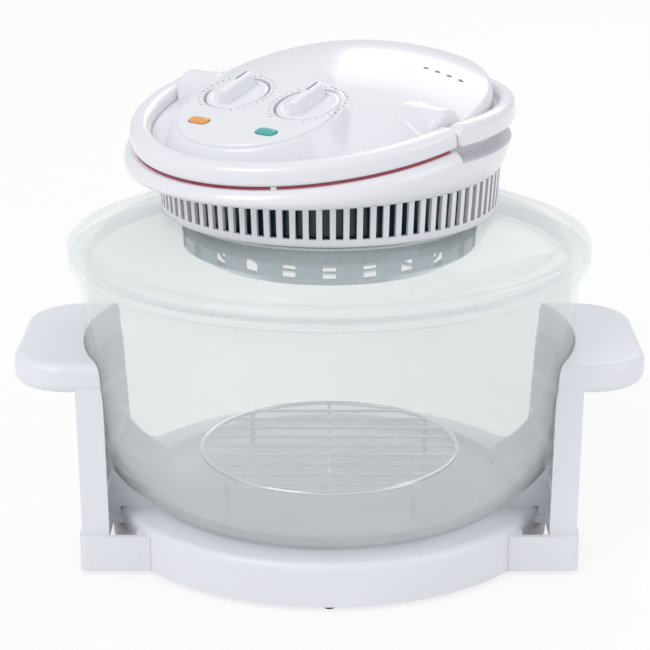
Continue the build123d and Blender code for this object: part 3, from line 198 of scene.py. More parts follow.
def grid_faces(rows: int, columns: int, round_rows: bool, round_columns: bool) -> np.ndarray:
    """Quads of a grid, which may close on itself along rows or columns.

    Args:
        rows, columns: size of the grid.
        round_rows: whether the last row joins the first.
        round_columns: whether the last column joins the first.

    Returns:
        Array of four corner numbers for each quad.
    """
    i = np.arange(rows if round_rows else rows - 1)[:, None]
    j = np.arange(columns if round_columns else columns - 1)[None, :]
    below, beside = (i + 1) % rows, (j + 1) % columns
    corners = [i * columns + j, below * columns + j, below * columns + beside, i * columns + beside]
    return np.stack([c + 0 * (i + j) for c in corners], -1).reshape(-1, 4)


@dataclass
class Patch:
    """One grid of points, and whether it closes on itself."""

    grid: np.ndarray
    round_rows: bool = False
    round_columns: bool = False


def piece(name: str, patches: list[Patch], place: np.ndarray = UPRIGHT, shade: Shade = Shade.CREASED,
          weld: float = 0.002) -> bpy.types.Object:
    """Makes one mesh object of grids, welds their seams and poles and turns its faces outwards.

    Args:
        name: the piece's name.
        patches: its grids, in millimetres.
        place: the frame that the grids are in.
        shade: how its faces meet.
        weld: distance under which two points become one, in millimetres.

    Returns:
        The new object, at the origin.
    """
    points, faces, start = [], [], 0
    for patch in patches:
        rows, columns = patch.grid.shape[:2]
        points.append(patch.grid.reshape(-1, 3))
        faces.append(grid_faces(rows, columns, patch.round_rows, patch.round_columns) + start)
        start += rows * columns
    spots = carried(np.concatenate(points), place) * METRE
    quads = np.concatenate(faces)
    mesh = bpy.data.meshes.new(name)
    mesh.vertices.add(len(spots))
    mesh.vertices.foreach_set("co", spots.astype(np.float32).ravel())
    mesh.loops.add(quads.size)
    mesh.loops.foreach_set("vertex_index", quads.astype(np.int32).ravel())
    mesh.polygons.add(len(quads))
    mesh.polygons.foreach_set("loop_start", np.arange(0, quads.size, 4, dtype=np.int32))
    mesh.update(calc_edges=True)
    welded(mesh, weld)
    shaded(mesh, shade)
    thing = bpy.data.objects.new(name, mesh)
    bpy.context.scene.collection.objects.link(thing)
    return thing


def welded(mesh: bpy.types.Mesh, distance: float) -> None:
    """Joins a mesh's doubled points, drops faces with no area and turns the rest outwards.

    Args:
        mesh: the mesh, in metres.
        distance: weld distance in millimetres.
    """
    shell = bmesh.new()
    shell.from_mesh(mesh)
    bmesh.ops.remove_doubles(shell, verts=shell.verts, dist=distance * METRE)
    bmesh.ops.dissolve_degenerate(shell, edges=shell.edges, dist=distance * METRE / 10)
    bmesh.ops.recalc_face_normals(shell, faces=shell.faces)
    shell.to_mesh(mesh)
    shell.free()


def shaded(mesh: bpy.types.Mesh, shade: Shade) -> None:
    """Smooths a mesh's shading up to the shade's angle."""
    mesh.shade_smooth()
    if shade is not Shade.SMOOTH:
        mesh.set_sharp_from_angle(angle=math.radians(shade.value))


# ---- shader effects ----------------------------------------------------------------------
FLOW_HEIGHT = 0.35
BUMP_DISTANCE = 0.0004
COAT_ROUGHNESS = 0.12
GLASS_SHADOW = (0.975, 0.987, 0.983, 1)
# Painted edge shade of clear glass: the colour mixed in where glass is seen edge on, and how fast it
# fades towards facing.
GLASS_EDGE_SHADE = (0.30, 0.42, 0.47, 1)
GLASS_EDGE_SHADE_POWER = 5.0
MIX_FACTOR, MIX_A, MIX_B, MIX_RESULT = 0, 6, 7, 2


def new_group(name: str, inputs: list[tuple[str, str, float]], outputs: list[tuple[str, str]]) -> tuple:
    """Empty shader node group with its sockets.

    Args:
        name: the group's name.
        inputs: name, socket type and default of each input.
        outputs: name and socket type of each output.

    Returns:
        The group, its input node and its output node.
    """
    group = bpy.data.node_groups.new(name, "ShaderNodeTree")
    for label, kind, default in inputs:
        socket = group.interface.new_socket(name=label, in_out="INPUT", socket_type=kind)
        socket.default_value = default
    for label, kind in outputs:
        group.interface.new_socket(name=label, in_out="OUTPUT", socket_type=kind)
    return group, group.nodes.new("NodeGroupInput"), group.nodes.new("NodeGroupOutput")


def math_node(tree: bpy.types.NodeTree, operation: str, *values: object) -> bpy.types.NodeSocket:
    """Adds a Math node; each value is a number or the socket that feeds it.

    Args:
        tree: the node tree.
        operation: the Math node's operation.
        values: its operands.

    Returns:
        The node's output socket.
    """
    node = tree.nodes.new("ShaderNodeMath")
    node.operation = operation
    for socket, value in zip(node.inputs, values):
        if isinstance(value, (int, float)):
            socket.default_value = value
        else:
            tree.links.new(value, socket)
    return node.outputs[0]


def object_noise(tree: bpy.types.NodeTree, scale: object, detail: float, place: object = None) -> object:
    """Adds a noise texture on Object coordinates.

    Args:
        tree: the node tree.
        scale: its scale, a number or a socket.
        detail: octaves.
        place: socket of other coordinates to use instead.

    Returns:
        The noise value's socket.
    """
    noise = tree.nodes.new("ShaderNodeTexNoise")
    noise.inputs["Detail"].default_value = detail
    if isinstance(scale, (int, float)):
        noise.inputs["Scale"].default_value = scale
    else:
        tree.links.new(scale, noise.inputs["Scale"])
    if place is None:
        place = tree.nodes.new("ShaderNodeTexCoord").outputs["Object"]
    tree.links.new(place, noise.inputs["Vector"])
    return noise.outputs["Fac"]


def moulded_skin() -> bpy.types.NodeTree:
    """Group: faint flow marks and fine texture of a moulded surface, as tone, dulling and height."""
    group, given, made = new_group(
        "moulded_skin",
        [("Flow Scale", "NodeSocketFloat", 14.0), ("Grain Scale", "NodeSocketFloat", 900.0),
         ("Tone", "NodeSocketFloat", 0.03), ("Dulling", "NodeSocketFloat", 0.06)],
        [("Tone", "NodeSocketFloat"), ("Dulling", "NodeSocketFloat"), ("Height", "NodeSocketFloat")])
    flow = object_noise(group, given.outputs["Flow Scale"], 3.0)
    grain = object_noise(group, given.outputs["Grain Scale"], 2.0)
    centred = math_node(group, "SUBTRACT", flow, 0.5)
    tone = math_node(group, "MULTIPLY_ADD", centred, given.outputs["Tone"], 1.0)
    dulling = math_node(group, "MULTIPLY", centred, given.outputs["Dulling"])
    group.links.new(tone, made.inputs["Tone"])
    group.links.new(dulling, made.inputs["Dulling"])
    group.links.new(math_node(group, "MULTIPLY_ADD", flow, FLOW_HEIGHT, grain), made.inputs["Height"])
    return group


def spun_marks() -> bpy.types.NodeTree:
    """Group: fine rings round the Z axis that spinning or pressing leaves on sheet metal."""
    group, given, made = new_group(
        "spun_marks",
        [("Rings", "NodeSocketFloat", 900.0), ("Tone", "NodeSocketFloat", 0.1)],
        [("Tone", "NodeSocketFloat"), ("Height", "NodeSocketFloat")])
    split = group.nodes.new("ShaderNodeSeparateXYZ")
    group.links.new(group.nodes.new("ShaderNodeTexCoord").outputs["Object"], split.inputs[0])
    across = math_node(group, "POWER", split.outputs["X"], 2.0)
    along = math_node(group, "POWER", split.outputs["Y"], 2.0)
    radius = math_node(group, "SQRT", math_node(group, "ADD", across, along))
    join = group.nodes.new("ShaderNodeCombineXYZ")
    group.links.new(radius, join.inputs["X"])
    group.links.new(split.outputs["Z"], join.inputs["Y"])
    rings = object_noise(group, given.outputs["Rings"], 2.0, join.outputs[0])
    centred = math_node(group, "SUBTRACT", rings, 0.5)
    tone = math_node(group, "MULTIPLY_ADD", centred, given.outputs["Tone"], 1.0)
    group.links.new(tone, made.inputs["Tone"])
    group.links.new(rings, made.inputs["Height"])
    return group


EFFECTS = {"moulded": moulded_skin(), "spun": spun_marks()}


# ---- finishes ----------------------------------------------------------------------------
@dataclass(frozen=True)
class Finish:
    """One surface finish: a plain shader with tone, dulling and fine height from a shared effect."""

    name: str
    colour: tuple[float, float, float]
    roughness: float = 0.4
    metallic: float = 0.0
    coat: float = 0.0
    transmission: float = 0.0
    index: float = 1.46
    effect: str = "moulded"
    scale: float = 14.0
    grain: float = 900.0
    tone: float = 0.03
    dulling: float = 0.06
    bump: float = 0.04
    lit_through: bool = False

    def made(self) -> bpy.types.Material:
        """Builds the material, once for each name.

        Returns:
            The material.
        """
        found = bpy.data.materials.get(self.name)
        if found:
            return found
        material = bpy.data.materials.new(self.name)
        material.use_nodes = True
        tree = material.node_tree
        shader = next(n for n in tree.nodes if n.type == "BSDF_PRINCIPLED")
        shader.inputs["Metallic"].default_value = self.metallic
        shader.inputs["Coat Weight"].default_value = self.coat
        shader.inputs["Coat Roughness"].default_value = COAT_ROUGHNESS
        shader.inputs["Transmission Weight"].default_value = self.transmission
        shader.inputs["IOR"].default_value = self.index
        skin = tree.nodes.new("ShaderNodeGroup")
        skin.node_tree = EFFECTS[self.effect]
        if self.effect == "moulded":
            skin.inputs["Flow Scale"].default_value = self.scale
            skin.inputs["Grain Scale"].default_value = self.grain
            skin.inputs["Dulling"].default_value = self.dulling
            rough = math_node(tree, "ADD", skin.outputs["Dulling"], self.roughness)
            tree.links.new(rough, shader.inputs["Roughness"])
        else:
            skin.inputs["Rings"].default_value = self.grain
            shader.inputs["Roughness"].default_value = self.roughness
        skin.inputs["Tone"].default_value = self.tone
        tinted = tree.nodes.new("ShaderNodeVectorMath")
        tinted.operation = "SCALE"
        tinted.inputs[0].default_value = self.colour
        tree.links.new(skin.outputs["Tone"], tinted.inputs["Scale"])
        tree.links.new(tinted.outputs["Vector"], shader.inputs["Base Color"])
        if self.bump > 0:
            bump = tree.nodes.new("ShaderNodeBump")
            bump.inputs["Strength"].default_value = self.bump
            bump.inputs["Distance"].default_value = BUMP_DISTANCE
            tree.links.new(skin.outputs["Height"], bump.inputs["Height"])
            tree.links.new(bump.outputs["Normal"], shader.inputs["Normal"])
        # Clear finishes get painted edge shade, and shadow rays pass them.
        if self.lit_through:
            self.paint_edge_shade(tree, tinted.outputs["Vector"], shader)
            self.let_shadows_through(tree, shader)
        return material

    def paint_edge_shade(self, tree: bpy.types.NodeTree, tint: bpy.types.NodeSocket,
                     shader: bpy.types.Node) -> None:
        """Paints shade into clear material's colour where it is seen edge on, standing in for the dark
        surroundings that glass refracts at its edges: the mix is facing ^ power.

        Args:
            tree: the material's node tree.
            tint: the socket of its plain colour.
            shader: its Principled shader.
        """
        facing = tree.nodes.new("ShaderNodeLayerWeight")
        facing.inputs["Blend"].default_value = 0.5
        share = math_node(tree, "POWER", facing.outputs["Facing"], GLASS_EDGE_SHADE_POWER)
        mix = tree.nodes.new("ShaderNodeMix")
        mix.data_type = "RGBA"
        tree.links.new(share, mix.inputs[MIX_FACTOR])
        tree.links.new(tint, mix.inputs[MIX_A])
        mix.inputs[MIX_B].default_value = GLASS_EDGE_SHADE
        tree.links.new(mix.outputs[MIX_RESULT], shader.inputs["Base Color"])

    def let_shadows_through(self, tree: bpy.types.NodeTree, shader: bpy.types.Node) -> None:
        """Lets lamp light pass clear material, which otherwise shadows what is behind it.

        Args:
            tree: the material's node tree.
            shader: its Principled shader.
        """
        clear = tree.nodes.new("ShaderNodeBsdfTransparent")
        clear.inputs["Color"].default_value = GLASS_SHADOW
        choice = tree.nodes.new("ShaderNodeMixShader")
        rays = tree.nodes.new("ShaderNodeLightPath")
        tree.links.new(rays.outputs["Is Shadow Ray"], choice.inputs["Fac"])
        tree.links.new(shader.outputs[0], choice.inputs[1])
        tree.links.new(clear.outputs[0], choice.inputs[2])
        tree.links.new(choice.outputs[0], tree.nodes["Material Output"].inputs["Surface"])


GLOSS_WHITE = Finish("gloss_white_plastic", (0.80, 0.80, 0.83), 0.24, coat=0.3, tone=0.03, bump=0.03)
SATIN_WHITE = Finish("satin_white_plastic", (0.79, 0.79, 0.83), 0.36, coat=0.1, tone=0.03, bump=0.05)
PANEL_WHITE = Finish("panel_white_plastic", (0.80, 0.80, 0.83), 0.27, coat=0.25, grain=700.0, bump=0.03)
DIAL_WHITE = Finish("dial_white_plastic", (0.82, 0.82, 0.85), 0.22, coat=0.35, bump=0.02)
CLEAR_GLASS = Finish("clear_glass", (0.965, 0.985, 0.982), 0.0, transmission=1.0, index=1.47,
                     scale=9.0, grain=30.0, tone=0.02, dulling=0.0, bump=0.02, lit_through=True)
# The dish's dark teal colour is painted reflection: the dark surroundings that its polished steel
# mirrors.
DISH_STEEL_PAINTED_REFLECTION = Finish("pressed_dish_steel_painted_reflection", (0.10, 0.17, 0.21), 0.10, metallic=1.0, effect="spun",
                    grain=700.0, tone=0.18, bump=0.06)
SHIELD_STEEL = Finish("coated_shield_steel", (0.42, 0.44, 0.45), 0.38, metallic=1.0, effect="spun",
                      grain=500.0, tone=0.15, bump=0.08)
WIRE_CHROME = Finish("plated_wire", (0.72, 0.73, 0.74), 0.12, metallic=1.0, tone=0.05, bump=0.02)
ZINC_STEEL = Finish("zinc_plated_steel", (0.58, 0.59, 0.60), 0.32, metallic=1.0, tone=0.12, bump=0.05)
STATOR_STEEL = Finish("laminated_stator_steel", (0.30, 0.31, 0.33), 0.5, metallic=0.9, tone=0.2, bump=0.1)
FAN_ALUMINIUM = Finish("pressed_fan_aluminium", (0.70, 0.71, 0.72), 0.3, metallic=1.0, effect="spun",
                       grain=600.0, tone=0.1, bump=0.05)
FAN_NYLON = Finish("fan_nylon", (0.11, 0.11, 0.12), 0.45, tone=0.1, bump=0.08)
SEAM_MAROON = Finish("maroon_seam_trim", (0.36, 0.05, 0.08), 0.35, coat=0.1, tone=0.1, bump=0.03)
FOOT_RUBBER = Finish("grey_foot_rubber", (0.075, 0.075, 0.08), 0.75, tone=0.25, bump=0.2)
SEAL_SILICONE = Finish("frosted_seal_silicone", (0.66, 0.68, 0.69), 0.5, tone=0.05, bump=0.05)
LENS_ORANGE = Finish("orange_lens", (0.72, 0.24, 0.10), 0.16, coat=0.4, transmission=0.25,
                     tone=0.1, bump=0.01)
LENS_GREEN = Finish("green_lens", (0.05, 0.34, 0.27), 0.16, coat=0.4, transmission=0.25,
                    tone=0.1, bump=0.01)
LAMP_QUARTZ = Finish("lamp_quartz", (0.93, 0.93, 0.92), 0.06, transmission=0.9, tone=0.02, dulling=0.02,
                     bump=0.01, lit_through=True)
HOLDER_CERAMIC = Finish("lamp_holder_ceramic", (0.74, 0.71, 0.66), 0.6, tone=0.08, bump=0.15)
SWITCH_PHENOLIC = Finish("switch_phenolic", (0.05, 0.045, 0.045), 0.4, tone=0.15, bump=0.06)
TERMINAL_NYLON = Finish("terminal_nylon", (0.70, 0.69, 0.64), 0.45, tone=0.06, bump=0.05)
# Near-black finish of the vent shade sheet and the cover's hole discs: painted shade of what lies inside
# them.
VENT_PAINTED_SHADE = Finish("vent_painted_shade", (0.012, 0.035, 0.048), 0.2, tone=0.3, bump=0.02)
INK_GREY = Finish("dial_scale_ink", (0.16, 0.23, 0.27), 0.5, tone=0.1, bump=0.02)

NODE_FINISH = {
    "stand_base": SATIN_WHITE, "bowl_shelf": SATIN_WHITE, "stand_feet": FOOT_RUBBER,
    "right_post": SATIN_WHITE, "left_post": SATIN_WHITE, "stand_screws": ZINC_STEEL,
    "glass_bowl": CLEAR_GLASS,
    "low_rack": WIRE_CHROME, "glass_lid": CLEAR_GLASS, "glass_seal": SEAL_SILICONE,
    "clamp_ring": ZINC_STEEL, "vent_housing": GLOSS_WHITE, "seam_band": SEAM_MAROON,
    "dome_cover": GLOSS_WHITE, "control_panel": PANEL_WHITE, "timer_knob": DIAL_WHITE,
    "temperature_knob": DIAL_WHITE, "timer_unit": ZINC_STEEL, "thermostat_unit": ZINC_STEEL,
    "orange_lens": LENS_ORANGE, "green_lens": LENS_GREEN, "indicator_lamps": LAMP_QUARTZ,
    "carry_handle": GLOSS_WHITE, "handle_pivot_pins": ZINC_STEEL, "safety_switch": SWITCH_PHENOLIC,
    "switch_plunger": SWITCH_PHENOLIC, "motor_stator": STATOR_STEEL, "shaft_bearings": ZINC_STEEL,
    "motor_shaft": ZINC_STEEL, "motor_bracket": ZINC_STEEL, "cooling_fan": FAN_NYLON,
    "convection_fan": FAN_ALUMINIUM, "fan_nut": ZINC_STEEL, "lamp_dish": DISH_STEEL_PAINTED_REFLECTION,
    "heat_shield": SHIELD_STEEL, "dish_screws": ZINC_STEEL, "cover_screws": ZINC_STEEL,
    "halogen_lamp": LAMP_QUARTZ, "lamp_holders": HOLDER_CERAMIC, "lamp_guard": WIRE_CHROME,
    "thermal_cutout": SWITCH_PHENOLIC, "terminal_block": TERMINAL_NYLON, "cord_gland": FOOT_RUBBER,
}


def dressed(thing: bpy.types.Object, finish: Finish) -> bpy.types.Object:
    """Gives an object one finish.

    Args:
        thing: the object.
        finish: its finish.

    Returns:
        The same object.
    """
    thing.data.materials.clear()
    thing.data.materials.append(finish.made())
    return thing


def settled(thing: bpy.types.Object, body: str, finish: Finish, *nodes: str) -> bpy.types.Object:
    """Dresses a piece, makes it ride on its body and hides the CAD nodes that it stands for.

    Args:
        thing: the piece.
        body: the body that it moves with.
        finish: its finish.
        nodes: CAD nodes that it replaces.

    Returns:
        The same piece.
    """
    dressed(thing, finish)
    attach(thing, body)
    if nodes:
        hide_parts(*nodes)
    LOG.info("%s rides on %s", thing.name, body)
    return thing


def dress_frame() -> None:
    """Gives every CAD node its finish."""
    for name, finish in NODE_FINISH.items():
        dressed(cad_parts[name], finish)


# ---- glass -------------------------------------------------------------------------------
@dataclass
class Bowl:
    """Clear round bowl: flat floor, wide corner, slightly flared wall and a rolled flange."""

    bottom: float = 24.0
    flat_r: float = 88.5
    corner_r: float = 66.0
    top_r: float = 161.0
    wall: float = 4.5
    rim: float = 190.0
    flange_r: float = 167.0
    flange_height: float = 6.0
    around: int = 192

    def outline(self) -> np.ndarray:
        """Half section, outer wall up, over the flange and down inside.

        Returns:
            Points of the outline, radius and height, from the axis to the axis.
        """
        corner_z = self.bottom + self.corner_r
        under = self.rim - self.flange_height
        outer = [np.stack([np.linspace(0, self.flat_r, 14), np.full(14, self.bottom)], -1),
                 arc_points((self.flat_r, corner_z), self.corner_r, -90, 0, 24)[1:]]
        wall = np.linspace(0, 1, 12)[1:, None]
        foot = np.array([self.flat_r + self.corner_r, corner_z])
        head = np.array([self.top_r, under - 1.6])
        outer.append(foot + wall * (head - foot))
        lip = rounded_outline([
            (self.top_r, under - 1.6, 1.5), (self.top_r + 0.4, under, 0.9),
            (self.flange_r, under + 0.2, 2.0),
            (self.flange_r - 0.2, self.rim, 2.2), (self.top_r - self.wall, self.rim, 1.8),
            (self.top_r - self.wall, under, 1.0)], 5)[5:-5]
        inner_head = np.array([self.top_r - self.wall, under])
        inner_foot = foot - (self.wall, 0)
        outer.append(lip)
        outer.append(inner_head + wall * (inner_foot - inner_head))
        outer.append(arc_points((self.flat_r, corner_z), self.corner_r - self.wall, 0, -90, 24)[1:])
        floor = np.stack([np.linspace(self.flat_r, 0, 14), np.full(14, self.bottom + self.wall)], -1)
        outer.append(floor[1:])
        return np.concatenate(outer)

    def build(self) -> None:
        """Makes the bowl."""
        shell = piece("bowl_glass", [Patch(spun(self.outline(), self.around), True)], shade=Shade.SMOOTH)
        settled(shell, "bowl", CLEAR_GLASS, "glass_bowl")


@dataclass
class Lid:
    """Shallow clear lid: beaded rim, bowed slope, flat land round its hole and a locating rib."""

    outer_r: float = 167.5
    bead_width: float = 10.5
    bead_low: float = 190.3
    bead_height: float = 8.0
    wall: float = 4.0
    land_z: float = 218.4
    land_r: float = 109.0
    hole_r: float = 86.5
    crown: float = 3.0
    rib_r: float = 155.0
    rib_width: float = 3.5
    rib_low: float = 185.0
    around: int = 192

    def outline(self) -> np.ndarray:
        """Closed half section of the lid, clockwise from the land's inner edge.

        The slope is a parabola over its own chord: height = chord + 4 * crown * t * (1 - t).

        Returns:
            Points of the outline, radius and height.
        """
        bead_in = self.outer_r - self.bead_width
        bead_top = self.bead_low + self.bead_height
        t = np.linspace(0, 1, 16)[:, None]
        start, end = np.array([self.land_r, self.land_z]), np.array([bead_in + 1.0, bead_top - 1.0])
        bow = 4 * self.crown * t * (1 - t) * np.array([[0.25, 1.0]])
        top = start + t * (end - start) + bow
        under = (top - (0, self.wall))[::-1]
        bead = rounded_outline([
            (bead_in + 1.0, bead_top - 1.0, 1.2), (bead_in + 3.0, bead_top, 1.6),
            (self.outer_r, bead_top, 3.4), (self.outer_r, self.bead_low, 3.2),
            (self.rib_r, self.bead_low, 0.6), (self.rib_r, self.rib_low, 1.0),
            (self.rib_r - self.rib_width, self.rib_low, 1.0),
            (self.rib_r - self.rib_width, bead_top - 3.4, 1.5)], 6)[6:-6]
        inner = rounded_outline([
            (self.land_r, self.land_z - self.wall, 0.5), (self.hole_r, self.land_z - self.wall, 1.0),
            (self.hole_r, self.land_z, 1.0), (self.land_r, self.land_z, 0.5)], 5)[5:-5]
        under = under[under[:, 0] < self.rib_r - self.rib_width - 1.0]
        return np.concatenate([top[:-1], bead, under, inner])

    def build(self) -> None:
        """Makes the lid's glass."""
        grid = spun(self.outline(), self.around)
        shell = piece("lid_glass", [Patch(grid, True, True)], shade=Shade.SMOOTH)
        settled(shell, "lid_head", CLEAR_GLASS, "glass_lid")


# ---- head shell --------------------------------------------------------------------------
@dataclass
class DomeCover:
    """Top cover: shallow crown, shelf, panel pedestal and pivot knuckles in one soft moulding."""

    a: float = 103.0
    b: float = 115.0
    centre_y: float = -7.0
    shelf: float = 7.0
    crown_r: float = 200.0
    crown_y: float = 10.0
    crown_top: float = 36.0
    edge_r: float = 3.0
    knuckle_r: float = 14.5
    knuckle_in: float = 78.0
    knuckle_edge: float = 5.0
    knuckle_fall: float = 2.5
    panel_sink: float = 1.7
    pedestal_out: float = 2.2
    pedestal_fall: float = 1.9
    moat_rise: float = 0.5
    well: float = 8.0
    shelf_blend: float = 4.0
    form_blend: float = 2.5
    moat_blend: float = 1.5
    wall_foot: float = -18.7
    wall_slope: float = -0.112
    hole_start: tuple[float, float] = (54.4, 32.0)
    hole_step: tuple[float, float] = (6.8, 2.4)
    hole_r: float = 1.7
    holes: int = 4
    crowding: float = 1.25
    around: int = 480
    rings: int = 112

    def dome(self, x: np.ndarray, y: np.ndarray) -> np.ndarray:
        """Height of the shallow crown, part of a sphere: top - R + sqrt(R^2 - r^2).

        Args:
            x, y: places in the rim frame.

        Returns:
            Heights in millimetres.
        """
        r = np.hypot(x, y - self.crown_y)
        return self.crown_top - self.crown_r + np.sqrt(self.crown_r ** 2 - r ** 2)

    def knuckle(self, x: np.ndarray, y: np.ndarray) -> np.ndarray:
        """Height of the pivot knuckles: a cylinder along X with a round inner end."""
        along = np.abs(x)
        outer = self.a - self.knuckle_edge
        past = np.clip((along - outer) / self.knuckle_edge, 0, 1) * self.knuckle_edge
        radius = self.knuckle_r - self.knuckle_edge + np.sqrt(self.knuckle_edge ** 2 - past ** 2)
        off = np.hypot(y - PIVOT[1], np.maximum(self.knuckle_in - along, 0))
        arch = np.sqrt(np.maximum(radius ** 2 - off ** 2, 0))
        return PIVOT[2] + arch - self.knuckle_fall * np.maximum(off - radius, 0)

    def panel_gap(self, x: np.ndarray, y: np.ndarray) -> tuple[np.ndarray, np.ndarray]:
        """Height of the panel's plane over the rim plane, and distance outside the panel's oval."""
        tilt, ahead = math.radians(PANEL_TILT), y - PANEL_SPOT[1]
        plane = PANEL_SPOT[2] + ahead * math.tan(tilt)
        share = np.hypot(x / PANEL_HALF[0], ahead / math.cos(tilt) / PANEL_HALF[1])
        return plane, (share - 1.0) * sum(PANEL_HALF) / 2

    def height(self, x: np.ndarray, y: np.ndarray) -> np.ndarray:
        """The cover's height over the rim plane: dome, shelf, knuckles and pedestal run together.

        The well under the panel's middle keeps the moulding clear of the panel itself.

        Args:
            x, y: places in the rim frame.

        Returns:
            Heights in millimetres.
        """
        z = softly_higher(self.dome(x, y), np.full_like(x, self.shelf), self.shelf_blend)
        z = softly_higher(z, self.knuckle(x, y), self.form_blend)
        plane, out = self.panel_gap(x, y)
        seat = plane - self.panel_sink
        pedestal = seat - self.pedestal_fall * np.maximum(out - self.pedestal_out, 0)
        z = softly_higher(z, pedestal, self.form_blend)
        moat = seat + self.moat_rise * np.maximum(out, 0)
        z = -softly_higher(-z, -moat, self.moat_blend)
        return z - self.well * (1 - ramp(-6.0, -2.0, out))

    def grid(self) -> np.ndarray:
        """Polar grid over the cover's oval, then its wall down to a level line in the housing.

        Returns:
            Grid of points in the rim frame.
        """
        t = np.linspace(0, TAU, self.around, endpoint=False)[:, None]
        share = np.linspace(0, 1, self.rings)
        share = (1 - (1 - share) ** self.crowding)[None, :]
        x = self.a * np.cos(t) * share
        y = self.centre_y + self.b * np.sin(t) * share
        inside = (1 - share) * (self.a + self.b) / 2 + 0 * t
        z = self.height(x, y)
        over = np.maximum(self.edge_r - inside, 0)
        z = z - (self.edge_r - np.sqrt(self.edge_r ** 2 - over ** 2))
        top = np.stack([x, y, z], -1)
        drop = np.linspace(0, 1, 10)[None, 1:, None]
        last = top[:, -1:, :]
        foot = last.copy()
        foot[..., 2] = self.wall_foot + self.wall_slope * last[..., 1]
        return np.concatenate([top, last + drop * (foot - last)], 1)

    def build(self) -> None:
        """Makes the cover's moulding and the small vent holes behind its right knuckle; the holes are
        dark discs on the surface, painted shade of their insides.
        """
        shell = piece("cover_moulding", [Patch(self.grid(), True)], RIM, Shade.SMOOTH)
        settled(shell, "lid_head", GLOSS_WHITE, "dome_cover")
        # Each hole is a thin dark disc lying on the cover: painted shade where a hole's inside would be.
        rows = np.array([[0.02, -0.3], [self.hole_r, -0.3], [self.hole_r, 0.05], [0.02, 0.05]])
        disc = spun(rows, 20)
        patches = []
        for step in range(self.holes):
            spots = disc.copy()
            spots[..., :2] += np.array(self.hole_start) + step * np.array(self.hole_step)
            spots[..., 2] += self.height(spots[..., 0], spots[..., 1])
            patches.append(Patch(spots, True, True))
        holes = piece("cover_vent_hole_shade", patches, RIM)
        settled(holes, "lid_head", VENT_PAINTED_SHADE)


@dataclass
class RimRing:
    """Section and oval shared by the fixed front lip and the folding carry handle."""

    a: float = 115.4
    lip_b: float = 126.2
    handle_b: float = 133.0
    centre_y: float = -7.2
    width: float = 11.0
    height: float = 15.0
    lip_low: float = 2.2
    top_round: float = 5.2
    under_round: float = 3.0
    lip_end_y: float = -25.0
    lip_inward: float = 2.2
    eye_r: float = 7.2
    tab_spot: tuple[float, float] = (48.4, -116.4)
    tab_turn: float = 27.7

    def bar(self, length: float, start: tuple, end: tuple, section: np.ndarray, steps: int,
            eye: bool) -> np.ndarray:
        """Carries a section round the oval between two lines of constant y.

        A section point at s lies on the oval (a - w/2 + s, b - w/2 + s), and its end angle is
        where that oval meets the line. With an eye, the height closes on a circle past the
        pivot: pivot_z + (h - pivot_z) * sqrt(1 - (past / eye_r)^2).

        Args:
            length: half length of the bar's outer oval.
            start, end: the line y at each end, and the angle in radians that it is measured from.
            section: points s and h of the section.
            steps: points along the bar.
            eye: whether the ends are round eyes.

        Returns:
            Grid of points in the rim frame.
        """
        s, h = section[None, :, 0], section[None, :, 1]
        share = np.linspace(0, 1, steps)[:, None]
        share = 0.5 - 0.5 * np.cos(math.pi * share) if eye else share
        a, b = self.a - self.width / 2 + s, length - self.width / 2 + s
        low, high = (self.end_angle(y, b, upper) for y, upper in (start, end))
        t = low + share * (high - low)
        x, y = a * np.cos(t), self.centre_y + b * np.sin(t)
        h = h + 0 * t
        if eye:
            past = np.clip((PIVOT[1] - y) / self.eye_r, 0, 1)
            h = PIVOT[2] + (h - PIVOT[2]) * np.sqrt(1 - past ** 2)
        grid = np.stack([x, y, h], -1)
        middle = grid.mean(1, keepdims=True) + 0 * grid
        return np.concatenate([middle[:1], grid, middle[-1:]])

    def end_angle(self, y: float, b: np.ndarray, upper: float) -> np.ndarray:
        """Angle at which the oval with half length b meets the line y, on the right or the left."""
        angle = np.arcsin(np.clip((y - self.centre_y) / b, -1, 1))
        return upper + angle if upper == 0 or upper == TAU else upper - angle

    def build(self) -> None:
        """Makes the front lip, the carry handle and the small tab in the seam's break."""
        half = self.width / 2
        lip_in = -half - self.lip_inward
        lip = rounded_outline([(half, self.lip_low, self.under_round),
                               (half, self.height, self.top_round),
                               (lip_in, self.height, 5.0), (lip_in, self.lip_low, 0.8)], 10)
        ends = (self.lip_end_y, math.pi), (self.lip_end_y, TAU)
        front = self.bar(self.lip_b, *ends, lip, 200, False)
        settled(piece("front_lip", [Patch(front, False, True)], RIM), "lid_head", GLOSS_WHITE)
        low = PIVOT[2] - self.eye_r
        bar = rounded_outline([(half, low, self.under_round), (half, self.height, self.top_round),
                               (-half, self.height, self.top_round), (-half, low, self.under_round)], 8)
        tip = PIVOT[1] - self.eye_r
        back = self.bar(self.handle_b, (tip, 0), (tip, math.pi), bar, 260, True)
        settled(piece("bail_handle", [Patch(back, False, True)], HANDLE), "handle", GLOSS_WHITE,
                "carry_handle")
        rows = np.array([[2.0, 0.6], [0.0, 0.6], [0.0, 2.4], [2.0, 2.4]])
        tab = piece("seam_tab", [Patch(stadium_rows(9.0, 4.0, rows, 8), False, True)],
                    RIM @ moved(*self.tab_spot, 0) @ turned(2, self.tab_turn))
        settled(tab, "lid_head", GLOSS_WHITE)


